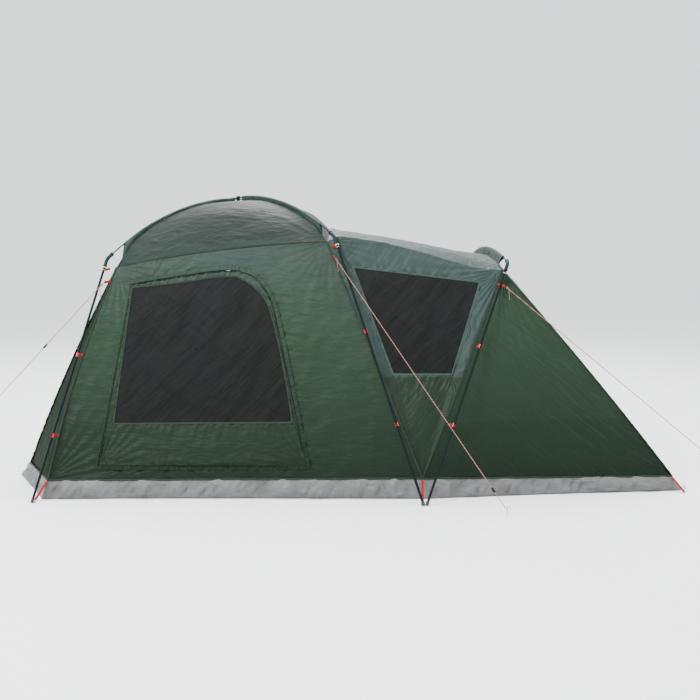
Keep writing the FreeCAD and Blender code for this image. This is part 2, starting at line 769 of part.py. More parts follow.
def make_elbow_fittings():
    """The ring under each elbow and the short webbing that ties the fly sheet's corner to it."""
    hooks = []
    tabs = []
    for which in ("left", "mid", "hoop"):
        for word, side in SIDES:
            heading = leg_heading(which, side)
            corner = elbow_corner(which, side)
            centre = corner + heading * (size("elbow_arm") + size("leg_hook_drop"))
            hooks.append(ring(f"hook_{which}_{word}", centre, heading, "leg_hook_radius", "hook_wire"))
            away = unit(tab(which, side) - centre)
            plain = strap(f"plain_tab_{which}_{word}", centre + away * size("collar_radius"),
                          tab(which, side) - away * size("strap_end"), V(0, 0, 1))
            tabs.append(hollowed(f"tab_{which}_{word}", plain, corner, centre * 2 - corner, "fitting_clear"))
    group("elbow_hooks", hooks)
    return tabs


def hollowed(name, band, start, end, radius):
    """A strap with its end hollowed round a bar, so that the two stay apart."""
    return cut(name, band, rod(name + "_clearance", start, end, radius))


def edge_point(which, side, z):
    """A point of the fly sheet's corner seam beside a leg, at height z."""
    top = tab(which, side)
    low = band_top("left" if which == "left" else "mid", side)
    return low + (top - low) * ((z - low.z) / (top.z - low.z))


CLIP_HEIGHTS = {"left": (915, 410), "mid": (1068, 488), "hoop": (975, 484)}


def make_clips():
    """C-shaped clips on the legs, and the webbing from each to the corner seam."""
    clips = []
    webs = []
    for which, heights in CLIP_HEIGHTS.items():
        for word, side in SIDES:
            top, bottom = leg_ends(which, side)
            heading = unit(bottom - top)
            for z in heights:
                centre = top + (bottom - top) * ((top.z - z) / (top.z - bottom.z))
                half = heading * (size("clip_length") / 2)
                name = f"{which}_{word}_{z}"
                tube = pipe("clip_tube_" + name, centre - half, centre + half, "clip_radius", "clip_bore")
                inward = edge_point(which, side, z) - centre
                inward = unit(inward - heading * inward.dot(heading))
                mouth = doc.addObject("Part::Box", "clip_mouth_" + name)
                mouth.Length = size("clip_radius") * 2
                mouth.Width = size("clip_bore") * 1.5
                mouth.Height = size("clip_length") * 2
                across = heading.cross(inward)
                turn = FreeCAD.Rotation(inward * -1, across, heading, "XZY")
                aside = turn.multVec(V(0, 1, 0)) * (mouth.Width.Value / 2)
                mouth.Placement = FreeCAD.Placement(centre - heading * size("clip_length") - aside, turn)
                clips.append(cut("clip_" + name, tube, mouth))
                begin = centre + inward * size("clip_radius")
                finish = edge_point(which, side, z) - inward * size("strap_end")
                plain = strap("plain_web_" + name, begin, finish, heading)
                webs.append(hollowed("web_" + name, plain, centre - half * 4, centre + half * 4, "clip_clear"))
    group("leg_clips", clips)
    return webs


STRAP_FROM_RING = 22
STRAP_OFF_GROUND = 6


def make_corner_straps():
    """Straps from the ground sheet's corners to the rings at the feet, and to the tail's pegs."""
    straps = []
    for which in ("left", "mid"):
        for word, side in SIDES:
            foot = foot_point(which, side)
            if which == "mid":
                foot.x = size("mid_foot_x") - size("foot_spread")
            out = V(0, side, 0)
            reach = size("cap_radius") + 2 * size("ring_radius") + STRAP_FROM_RING
            begin = V(foot.x, foot.y, STRAP_OFF_GROUND) - out * reach
            top = band_top(which, side)
            finish = top + unit(begin - top) * size("strap_end") + out * STRAP_OFF_GROUND
            straps.append(strap(f"corner_{which}_{word}", begin, finish, V(1, 0, 0)))
    return straps


def peg(name, point, lean):
    """The part of a wire peg that stands out of the ground: a stem with a hook over its top."""
    height = V(0, 0, size("peg_height"))
    reach = size("peg_hook")
    base = point
    top = point + height
    over = top + lean * (2 * reach)
    hook = Part.Arc(top, top + lean * reach + V(0, 0, reach), over)
    return fuse(name, [rod(name + "_stem", base, top, "peg_radius"), bent(name + "_hook", hook, "peg_radius"),
                       rod(name + "_tip", over, over - V(0, 0, reach), "peg_radius")])


TAIL_PEG_REACH = 92
PEG_LIFT = 0.2


def make_tail_pegs():
    """Pegs at the tail's corners and the straps that reach them."""
    pegs = []
    straps = []
    for word, side in SIDES:
        corner = floor_corner("tail", side)
        point = corner + V(-2, side * TAIL_PEG_REACH, PEG_LIFT)
        pegs.append(peg("tail_peg_" + word, point, V(0, -side, 0)))
        begin = point + V(0, -side * 2 * size("peg_radius"), size("peg_radius") * 2)
        finish = band_top("tail", side) + V(0, side * size("strap_end"), -size("strap_end"))
        straps.append(strap("tail_strap_" + word, begin, finish, V(1, 0, 0)))
    group("tail_pegs", pegs)
    return straps


GUYS = {
    "left": {"start": V(-1560, -1192, 1385), "peg": V(-2680, -1950, 0), "slider": 0.3},
    "mid": {"start": V(-30, -1192, 1551), "peg": V(1020, -1950, 0), "slider": 0.93},
    "hoop": {"start": V(1087, -1268, 1362), "peg": V(2630, -1950, 0), "slider": 0.8},
}


def guy_route(which):
    """The two ends of a tight guy line: at its ring, and at its peg's hook."""
    start = GUYS[which]["start"]
    peg_point = GUYS[which]["peg"]
    lean = unit(V(peg_point.x - start.x, peg_point.y - start.y, 0))
    beside = size("peg_radius") + size("cord_radius") + size("touch_gap")
    end = peg_point + V(0, 0, size("peg_tie")) - lean * beside
    return start, end, lean


def make_guys():
    """Guy lines on the front, their adjusters, their pegs, and the loops on the cloth front and rear."""
    pegs = []
    tabs = []
    for which, guy in GUYS.items():
        start, end, lean = guy_route(which)
        run = unit(end - start)
        keep(f"guy_line_{which}", rod(f"guy_line_{which}", start + run * size("knot_gap"), end, "cord_radius"))
        centre = start + (end - start) * guy["slider"]
        block = bound("Part::Box", f"adjuster_block_{which}", Length="slider_length", Width="slider_width",
                      Height="slider_thickness")
        level = unit(run.cross(V(0, 0, 1)))
        turn = FreeCAD.Rotation(run, level, run.cross(level), "XZY")
        half = V(size("slider_length") / 2, size("slider_width") / 2, size("slider_thickness") / 2)
        block.Placement = FreeCAD.Placement(centre - turn.multVec(half), turn)
        over = run * size("slider_length")
        bore = rod(f"adjuster_bore_{which}", centre - over, centre + over, "slider_bore")
        keep(f"adjuster_{which}", cut(f"adjuster_{which}", block, bore))
        pegs.append(peg(f"guy_peg_{which}", guy["peg"] + V(0, 0, PEG_LIFT), lean))
        for word, side in SIDES:
            point = V(start.x, abs(start.y) * side, start.z)
            root = edge_point(which, side, start.z + size("webbing") / 2)
            away = unit(root - point)
            plain = strap(f"plain_guy_tab_{which}_{word}", point + away * size("loop_gap"),
                          root - away * size("strap_end"), V(0, 0, 1))
            tabs.append(hollowed(f"guy_tab_{which}_{word}", plain, *leg_ends(which, side), "leg_clear"))
    group("guy_pegs", pegs)
    group("guy_tabs", tabs)


def zip_slider(label, point, run, normal):
    """A zip's slider with its pull, lying on the outside of the cloth."""
    base = point + normal * (size("cloth") / 2 + size("zip_lift"))
    turn = FreeCAD.Rotation(run, unit(normal.cross(run)), normal, "XZY")
    block = bound("Part::Box", label + "_block", Length="zip_width", Width="zip_body", Height="zip_height")
    corner = turn.multVec(V(size("zip_width") / 2, size("zip_body") / 2, 0))
    block.Placement = FreeCAD.Placement(base - corner, turn)
    pull = bound("Part::Box", label + "_pull", Length="zip_pull", Width="pull_width", Height="pull_height")
    start = turn.multVec(V(size("pull_width"), -size("pull_width") / 2, size("pull_height")))
    pull.Placement = FreeCAD.Placement(base + start, turn)
    return keep(label, fuse(label, [block, pull]))


ZIP_START_X = -300
END_ZIP_START_Y = -540
ZIP_DROP = 4


def make_zip_sliders():
    """A slider at the foot of each side door's free edge, and one on the end door."""
    for word, side in SIDES:
        origin, normal = wall_plane(side)
        out = normal if normal.y * side > 0 else normal * -1
        start = on_plane(origin, normal, ZIP_START_X, DOOR_BASE_Z - ZIP_DROP)
        zip_slider(word + "_zip_slider", start, V(-1, 0, 0), out)
    low = band_top("end", FRONT)
    high = tab("left", FRONT)
    z = END_DOOR[0][1] - ZIP_DROP
    share = (z - low.z) / (high.z - low.z)
    point = V(low.x + (high.x - low.x) * share, END_ZIP_START_Y, z)
    slope = unit(V(high.x - low.x, 0, high.z - low.z))
    zip_slider("end_zip_slider", point, V(0, 1, 0), unit(V(-slope.z, 0, slope.x)))


def make_cloth():
    """Every sewn part."""
    make_roof()
    make_side_walls()
    make_end()
    make_hoop_room()
    make_tail()
    make_ground_sheet()
    make_sleeves()


def make_fittings():
    """Everything that ties cloth to frame and ground."""
    webbing = make_elbow_fittings() + make_clips()
    group("red_webbing", webbing)
    group("corner_straps", make_corner_straps() + make_tail_pegs())
    make_guys()
    make_zip_sliders()


def write_parts():
    """Recompute, look for faults, and write each sub-part to its own file."""
    doc.recompute()
    for thing in doc.Objects:
        if {"Invalid", "Error"} & set(thing.State):
            raise RuntimeError(f"{thing.Name} did not compute: {thing.State}")
    os.makedirs("parts", exist_ok=True)
    for thing in kept:
        shape = thing.Shape
        if shape.isNull() or not shape.isValid() or not shape.Solids:
            raise RuntimeError(f"{thing.Label} has no valid solid")
        if min(solid.Volume for solid in shape.Solids) <= 0:
            raise RuntimeError(f"{thing.Label} is inside out")
        shape.exportStep(f"parts/{thing.Label}.step")
    print(len(kept), "parts")


make_frame()
make_cloth()
make_fittings()
write_parts()
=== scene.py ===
"""Looks of a pitched family tent: cloth, nets, webbing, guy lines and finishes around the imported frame.

Metres, in the frame's own axes: X along the tent, Y towards the rear, Z up. Most shapes are worked out
for the rear half and mirrored by a side of -1 (front) or 1 (rear).
"""
import math

import bpy
import numpy as np
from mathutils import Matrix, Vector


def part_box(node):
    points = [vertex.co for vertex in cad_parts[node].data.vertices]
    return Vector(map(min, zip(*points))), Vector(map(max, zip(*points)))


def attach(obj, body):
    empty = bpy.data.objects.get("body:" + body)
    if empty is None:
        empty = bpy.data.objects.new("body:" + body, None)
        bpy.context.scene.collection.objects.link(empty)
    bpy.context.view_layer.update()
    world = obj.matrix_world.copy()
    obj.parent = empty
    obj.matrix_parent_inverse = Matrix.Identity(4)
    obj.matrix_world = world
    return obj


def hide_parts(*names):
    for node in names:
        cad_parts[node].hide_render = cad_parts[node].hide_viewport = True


bl_info = {
    "name": "Family Tent",
    "version": (1, 0, 0),
    "blender": (4, 5, 0),
    "location": "View3D > Sidebar > Tent",
    "description": "Builds the cloth, nets, webbing and cords of a family tent around its frame",
    "category": "Object",
}

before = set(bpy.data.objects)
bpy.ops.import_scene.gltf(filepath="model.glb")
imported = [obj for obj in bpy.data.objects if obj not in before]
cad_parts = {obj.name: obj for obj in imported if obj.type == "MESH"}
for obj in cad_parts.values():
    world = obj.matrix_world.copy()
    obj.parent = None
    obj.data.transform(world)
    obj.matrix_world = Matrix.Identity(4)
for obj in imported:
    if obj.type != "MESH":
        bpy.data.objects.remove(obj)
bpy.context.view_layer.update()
FRONT, REAR = -1, 1
SIDES = (("front", FRONT), ("rear", REAR))
UP = np.array([0, 0, 1.0])


def place(name, text, x, y, z):
    """A property that holds a point, in metres."""
    return bpy.props.FloatVectorProperty(name=name, description=text, default=(x, y, z), size=3,
                                         subtype="XYZ", unit="LENGTH")


def paint(name, text, r, g, b):
    """A property that holds a colour."""
    return bpy.props.FloatVectorProperty(name=name, description=text, default=(r, g, b), size=3,
                                         subtype="COLOR", min=0, max=1)


def length(name, text, value):
    """A property that holds a length, in metres."""
    return bpy.props.FloatProperty(name=name, description=text, default=value, unit="LENGTH", precision=4)


class TentShape(bpy.types.PropertyGroup):
    """Where the cloth is held, given for the rear half."""

    hub: place("Hub", "Crossing of the roof poles", -0.783, 0, 2.0)
    crown: place("Crown", "Middle of the hoop pole", 1.098, 0, 1.626)
    elbow_left: place("End elbow", "Corner of the elbow at the end", -1.555, 1.100, 1.540)
    elbow_mid: place("Middle elbow", "Corner of the elbow at the dome's inner side", -0.035, 1.098, 1.690)
    elbow_hoop: place("Hoop elbow", "Corner of the hoop's elbow", 1.116, 1.188, 1.517)
    tab_left: place("End tab", "Fly corner below the end elbow", -1.495, 1.100, 1.480)
    tab_mid: place("Middle tab", "Fly corner below the middle elbow", -0.084, 1.076, 1.650)
    tab_hoop: place("Hoop tab", "Fly corner below the hoop elbow", 1.078, 1.172, 1.466)
    band_left: place("End corner band", "Top of the band over the end corner", -1.874, 1.500, 0.123)
    band_mid: place("Middle corner band", "Top of the band over the middle corner", 0.536, 1.500, 0.133)
    band_tail: place("Tail corner band", "Top of the band over the tail corner", 2.223, 1.224, 0.095)
    band_end: place("End vertex band", "Top of the band over the end vertex", -2.223, 0.680, 0.083)
    floor_left: place("End corner", "Ground sheet corner", -1.915, 1.511, 0.0)
    floor_mid: place("Middle corner", "Ground sheet corner", 0.540, 1.505, 0.0)
    floor_tail: place("Tail corner", "Ground sheet corner", 2.280, 1.244, 0.0)
    floor_end: place("End vertex", "Ground sheet corner", -2.287, 0.696, 0.0)
    ridge_start: place("Ridge start", "Where the hoop room's ridge leaves the dome", -0.091, 0, 1.764)
    ridge_end: place("Ridge end", "Where the hoop room's ridge meets the hoop", 1.085, 0, 1.574)
    sleeve_drop: length("Sleeve drop", "Roof cloth below the pole", 0.045)
    cross_gap: length("Crossing gap", "Between the axes of the crossing poles", 0.012)
    sleeve_radius: length("Sleeve radius", "Radius of the cloth tube on a pole", 0.0095)
    cloth: length("Cloth", "Thickness the cloth is drawn with", 0.0012)
    seam_height: length("Seam height", "Level of the seam round the lower walls", 0.485)


class TentLooks(bpy.types.PropertyGroup):
    """Colours and how crumpled the cloth is."""

    roof: paint("Roof cloth", "Upper fly", 0.0052, 0.0104, 0.0082)
    wall: paint("Wall cloth", "Walls above the seam", 0.0128, 0.0262, 0.0146)
    low: paint("Lower cloth", "Walls below the seam", 0.0110, 0.0240, 0.0130)
    # Painted light: lighter than the roof cloth, so the roof reads lit near the eaves.
    rim_painted_light: paint("Roof rim", "Roof cloth near the wall seam", 0.0105, 0.0180, 0.0144)
    # Painted light: the wall colour lightened for the walls near the eaves.
    head: paint("Wall head", "Walls near the eaves", 0.0165, 0.0272, 0.0218)
    # Painted light: far lighter than the roof cloth, so the shaded sleeve strips read lit; the window
    # bindings share it.
    casing_painted_light: paint("Sleeve cloth", "Pole sleeves and window bindings", 0.027, 0.047, 0.038)
    flap: paint("Zip flap", "Frilled cloth over the zips", 0.0150, 0.0268, 0.0190)
    trim: paint("Grey-green cloth", "Hoop room above the windows' foot", 0.024, 0.040, 0.035)
    net: paint("Net", "Insect net", 0.0062, 0.0071, 0.0067)
    ground: paint("Ground sheet", "Floor and band", 0.112, 0.112, 0.111)
    red: paint("Red", "Webbing and clips", 0.24, 0.006, 0.009)
    pole: paint("Pole", "Coated steel", 0.0030, 0.0070, 0.0062)
    yellow: paint("Yellow", "Marker rings", 0.62, 0.66, 0.06)
    wrinkle: length("Wrinkles", "Height of the broad folds", 0.016)
    pucker: length("Puckers", "Height of the gathers beside seams", 0.0045)


def shape():
    """The scene's shape settings."""
    return bpy.context.scene.tent_shape


def looks():
    """The scene's look settings."""
    return bpy.context.scene.tent_looks


def at(name, side=REAR):
    """A named point of the shape, on the side asked for."""
    point = np.array(getattr(shape(), name)[:], float)
    point[1] *= side
    return point


# ---------------------------------------------------------------- numpy surfaces


def unit(v):
    """Vectors at length one."""
    return v / np.maximum(np.linalg.norm(v, axis=-1, keepdims=True), 1e-12)


def smooth(t):
    """Zero to one with flat ends: 3t^2 - 2t^3, t clipped to 0..1."""
    t = np.clip(t, 0, 1)
    return t * t * (3 - 2 * t)


def noise(a, b, scale, seed):
    """Smooth noise from -1 to 1: random values on a square lattice, blended with a quintic ease."""
    table = np.random.default_rng(seed).random((97, 97)) * 2 - 1
    x, y = np.asarray(a) / scale + 31.7, np.asarray(b) / scale + 17.3
    i, j = np.floor(x).astype(int), np.floor(y).astype(int)
    u, v = ((t ** 3) * (t * (t * 6 - 15) + 10) for t in (x - i, y - j))

    def value(di, dj):
        """The lattice's value at a corner of the cell."""
        return table[(i + di) % 97, (j + dj) % 97]

    low = value(0, 0) * (1 - u) + value(1, 0) * u
    high = value(0, 1) * (1 - u) + value(1, 1) * u
    return low * (1 - v) + high * v


def long_noise(a, b, angle, scale, stretch, seed):
    """Noise drawn out along one direction of the cloth, like soft parallel folds."""
    c, s = math.cos(angle), math.sin(angle)
    return noise((a * c + b * s) / stretch, b * c - a * s, scale, seed)


def crease(a, b, scale, seed):
    """Sharp fold lines: one minus the size of warped noise, scaled, clipped at zero and squared."""
    wa = a + 0.35 * scale * noise(a, b, scale * 0.8, seed + 5)
    wb = b + 0.35 * scale * noise(b, a, scale * 0.8, seed + 6)
    return np.clip(1 - 3.2 * np.abs(noise(wa, wb, scale, seed)), 0, 1) ** 2


def fan(a, b, corner, count, reach, seed):
    """Tension folds that spread from a corner: a sine of the angle round it, fading with distance."""
    da, db = a - corner[0], b - corner[1]
    r = np.hypot(da, db)
    wobble = 1.3 * noise(da, db, 0.22, seed)
    wave = np.sin(np.arctan2(db, da) * count + wobble)
    return wave * np.exp(-(r / reach) ** 1.6) * smooth(r / 0.08)


def cloth_relief(a, b, edge, along, seed, folds=(), angle=1.2, amount=1.0):
    """Height of the cloth over its base: broad soft folds and creases that die out at the edges, fans of
    tension folds from corners, and gathers close to the edges."""
    wrinkle, pucker = looks().wrinkle, looks().pucker
    calm = smooth(edge / 0.10)
    height = 0.55 * long_noise(a, b, angle, 0.13, 3.2, seed) + 0.22 * noise(a, b, 0.07, seed + 1)
    height += 0.34 * crease(a, b, 0.34, seed + 2) + 0.18 * long_noise(a, b, angle + 0.9, 0.06, 4.5, seed + 3)
    height = height * wrinkle * amount * calm * 0.55
    for corner, count, reach, size in folds:
        height = height + size * fan(a, b, corner, count, reach, seed + 9) * smooth(edge / 0.03)
    gather = noise(along, edge * 0.25, 0.017, seed + 11) + 0.5 * noise(along, edge * 0.2, 0.034, seed + 12)
    fade = np.exp(-edge / 0.028) * smooth(edge / 0.006)
    return height + pucker * gather * fade


def steps_along(points):
    """Distance along a run of points, from zero at its first."""
    return np.concatenate([[0], np.cumsum(np.linalg.norm(np.diff(points, axis=0), axis=-1))])


def coons(low, high, left, right):
    """A surface from four border curves: the two ruled surfaces between opposite borders, added, less the
    bilinear surface through the corners. low and high run with u, left and right with v."""
    u = np.linspace(0, 1, len(low))[None, :, None]
    v = np.linspace(0, 1, len(left))[:, None, None]
    ruled = (1 - v) * low[None] + v * high[None] + (1 - u) * left[:, None] + u * right[:, None]
    corners = (1 - v) * ((1 - u) * low[0] + u * low[-1]) + v * ((1 - u) * high[0] + u * high[-1])
    return ruled - corners


def grid_normals(grid):
    """Normals of a grid: the cross product of its two gradients."""
    return unit(np.cross(np.gradient(grid, axis=1), np.gradient(grid, axis=0)))


def border_distance(grid):
    """Distance of each grid point from the nearest border, and how far along that border it lies."""
    sides = (grid[0][None], grid[-1][None], grid[:, 0][:, None], grid[:, -1][:, None])
    gaps = np.stack([np.linalg.norm(grid - side, axis=-1) for side in sides])
    rows = steps_along(grid[:, grid.shape[1] // 2])
    cols = steps_along(grid[grid.shape[0] // 2])
    nearest = gaps.argmin(0)
    along = np.where(nearest < 2, cols[None, :], rows[:, None])
    return gaps.min(0), along


def line(a, b, count, bow=(0, 0, 0)):
    """Points from a to b, pushed aside by bow at the middle: a straight line plus bow times 4t(1-t)."""
    t = np.linspace(0, 1, count)[:, None]
    return a + (b - a) * t + np.asarray(bow) * 4 * t * (1 - t)


def arc_points(begin, heading, end, shares):
    """Points of the circular arc that leaves begin along heading and arrives at end: the chord makes half
    the arc's turn with the heading, so radius is chord / (2 sin half)."""
    chord = end - begin
    span = np.linalg.norm(chord)
    half = math.acos(float(np.clip(heading @ chord / span, -1, 1)))
    inward = unit(np.cross(np.cross(heading, chord), heading))
    radius = span / (2 * math.sin(half))
    turn = np.asarray(shares, float)[:, None] * 2 * half
    return begin + heading * radius * np.sin(turn) + inward * radius * (1 - np.cos(turn))


def pole_arc(which, side, shares, level=0):
    """Half of a pole, from the crossing or the crown (0) to its elbow (1)."""
    corner = at("elbow_" + which, side)
    if which == "hoop":
        return arc_points(at("crown"), np.array([0, side, 0.0]), corner, shares)
    middle = at("hub") + np.array([0, 0, level * shape().cross_gap / 2])
    run = unit(np.array([corner[0] - middle[0], corner[1], 0]))
    tilt = 0.03 if which == "mid" else -0.03
    return arc_points(middle, unit(run + np.array([0, 0, tilt])), corner, shares)


def pole_level(which, side):
    """-1 for the halves of the lower roof pole, 1 for the upper one's, 0 on the hoop."""
    return 0 if which == "hoop" else (-1 if (which == "left") == (side == FRONT) else 1)


def ridge(which, side, shares):
    """The roof's ridge under a pole: the pole's arc lowered by the sleeve's drop, then eased to the tab."""
    shares = np.asarray(shares, float)
    drop = np.array([0, 0, shape().sleeve_drop])
    points = pole_arc(which, side, 0.9 * shares) - drop
    last = pole_arc(which, side, [0.9])[0] - drop
    ease = np.clip((shares - 0.75) / 0.25, 0, 1)[:, None] ** 2
    return points + (at("tab_" + which, side) - last) * ease


# ---------------------------------------------------------------- meshes


def to_mesh(name, grid, finish, coords, closed=False, thick=None, flip=False):
    """A mesh from a grid of points: one quad per cell, with UVs in metres, smooth shading and a thickness."""
    rows, cols = grid.shape[:2]
    index = np.arange(rows * cols).reshape(rows, cols)
    if closed:
        index = np.concatenate([index, index[:, :1]], 1)
    quads = np.stack([index[:-1, :-1], index[:-1, 1:], index[1:, 1:], index[1:, :-1]], -1).reshape(-1, 4)
    if flip:
        quads = quads[:, ::-1]
    mesh = bpy.data.meshes.new(name)
    mesh.vertices.add(rows * cols)
    mesh.vertices.foreach_set("co", np.ascontiguousarray(grid, np.float32).ravel())
    mesh.loops.add(quads.size)
    mesh.loops.foreach_set("vertex_index", quads.ravel().astype(np.int32))
    mesh.polygons.add(len(quads))
    mesh.polygons.foreach_set("loop_start", np.arange(0, quads.size, 4, dtype=np.int32))
    mesh.polygons.foreach_set("use_smooth", np.ones(len(quads), bool))
    mesh.update(calc_edges=True)
    flat = coords.reshape(-1, 2)
    layer = mesh.uv_layers.new(name="cloth")
    layer.data.foreach_set("uv", np.ascontiguousarray(flat[quads.ravel()], np.float32).ravel())
    mesh.validate()
    piece = bpy.data.objects.new(name, mesh)
    bpy.context.scene.collection.objects.link(piece)
    mesh.materials.append(finish)
    if thick:
        solid = piece.modifiers.new("thickness", "SOLIDIFY")
        solid.thickness = thick
        solid.offset = 0
    return piece


def area_of(grid):
    """Area of a grid's cells: half the length of the cross product of each cell's diagonals, added up."""
    one = grid[1:, 1:] - grid[:-1, :-1]
    other = grid[1:, :-1] - grid[:-1, 1:]
    return float(np.linalg.norm(np.cross(one, other), axis=-1).sum() / 2)


def cloth_piece(name, grid, finish, body, node, coords,
                thick=None, flip=False, closed=False):
    """Makes a piece of cloth ride on its body and stand for its node. The area is that of the base where
    one is given: the surface before its wrinkles were added.
    """
    piece = to_mesh(name, grid, finish, coords=coords, thick=thick or shape().cloth, flip=flip, closed=closed)
    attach(piece, body)
    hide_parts(node)


def tube(name, points, radius, finish, up):
    """A round bar along a path, closed at both ends. Its rings turn with the path: each ring's axes are the
    path's heading crossed with a fixed up vector, and the radius may change along it."""
    sides = 8
    points = np.asarray(points, float)
    heading = unit(np.gradient(points, axis=0))
    across = unit(np.cross(heading, np.asarray(up, float)))
    lift = np.cross(across, heading)
    turn = np.linspace(0, 2 * math.pi, sides, endpoint=False)
    size = np.broadcast_to(np.asarray(radius, float), (len(points),))[:, None, None]
    ring = np.cos(turn)[None, :, None] * across[:, None] + np.sin(turn)[None, :, None] * lift[:, None]
    first, last = (np.repeat(points[end][None, None], sides, 1) for end in (0, -1))
    grid = np.concatenate([first, points[:, None] + size * ring, last])
    coords = np.stack(np.meshgrid(turn / 60, np.arange(len(grid)) / 100), -1)
    return to_mesh(name, grid, finish, coords=coords, closed=True)


def joined(name, pieces):
    """Several meshes as one object at the origin."""
    with bpy.context.temp_override(active_object=pieces[0], selected_editable_objects=pieces,
                                   selected_objects=pieces):
        bpy.ops.object.join()
    pieces[0].name = name
    pieces[0].data.name = name
    return pieces[0]


def joined_cloth(name, parts, node):
    """Pieces of cloth with their areas, as one object that stands for a node."""
    piece = joined(name, [part for part, _ in parts])
    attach(piece, "tent")
    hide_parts(node)


def extra(piece, body):
    """A piece that stands for no node: it rides on a body."""
    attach(piece, body)


def band_strip(name, points, normals, width, finish, thick):
    """A flat strip along points: its width lies in the surface, square to the path and the normals."""
    heading = unit(np.gradient(points, axis=0))
    across = unit(np.cross(heading, normals))
    t = np.linspace(-0.5, 0.5, 7)
    crown = (0.25 - t * t)[None, :, None] * normals[:, None] * thick
    grid = points[:, None] + t[None, :, None] * width * across[:, None] + crown
    coords = np.stack(np.broadcast_arrays(t[None] * width, steps_along(points)[:, None]), -1)
    return to_mesh(name, grid, finish, coords=coords, thick=thick)


# ---------------------------------------------------------------- materials


def link(tree, a, out, b, into):
    """Join two sockets."""
    tree.links.new(a.outputs[out], b.inputs[into])


def new_group(name, inputs, outputs):
    """A shader node group with named float or colour sockets."""
    tree = bpy.data.node_groups.new(name, "ShaderNodeTree")
    for label, kind, value in inputs:
        socket = tree.interface.new_socket(label, in_out="INPUT", socket_type=kind)
        if value is not None:
            socket.default_value = value
    for label, kind in outputs:
        tree.interface.new_socket(label, in_out="OUTPUT", socket_type=kind)
    return tree, tree.nodes.new("NodeGroupInput"), tree.nodes.new("NodeGroupOutput")


def set_node(tree, kind, **inputs):
    """A node with inputs set by name: an underscore in a name stands for a space."""
    node = tree.nodes.new(kind)
    for key, value in inputs.items():
        node.inputs[key.replace("_", " ")].default_value = value
    return node


def math_node(tree, operation, value=None):
    """A Math node with its second number set."""
    node = tree.nodes.new("ShaderNodeMath")
    node.operation = operation
    if value is not None:
        node.inputs[1].default_value = value
    return node


def add_up(tree, parts):
    """A chain of Add nodes over the first output of each part."""
    total = parts[0]
    for part in parts[1:]:
        add = math_node(tree, "ADD")
        link(tree, total, 0, add, 0)
        link(tree, part, 0, add, 1)
        total = add
    return total


def weave_group():
    """Group: a plain weave from two crossed sine waves of the UVs, with a square rip-stop grid."""
    settings = [("Threads", "NodeSocketFloat", 900.0), ("Grid", "NodeSocketFloat", 160.0)]
    tree, into, out = new_group("cloth_weave", settings, [("Height", "NodeSocketFloat")])
    uv = tree.nodes.new("ShaderNodeUVMap")
    uv.uv_map = "cloth"
    split = tree.nodes.new("ShaderNodeSeparateXYZ")
    link(tree, uv, "UV", split, 0)
    waves = []
    for axis in ("X", "Y"):
        for source, weight in (("Threads", 0.5), ("Grid", 1.0)):
            scale = math_node(tree, "MULTIPLY")
            link(tree, split, axis, scale, 0)
            link(tree, into, source, scale, 1)
            wave = math_node(tree, "SINE")
            link(tree, scale, 0, wave, 0)
            if source == "Grid":
                power = math_node(tree, "POWER", 24)
                absolute = math_node(tree, "ABSOLUTE")
                link(tree, wave, 0, absolute, 0)
                link(tree, absolute, 0, power, 0)
                wave = power
            size = math_node(tree, "MULTIPLY", weight)
            link(tree, wave, 0, size, 0)
            waves.append(size)
    link(tree, add_up(tree, waves), 0, out, "Height")
    return tree


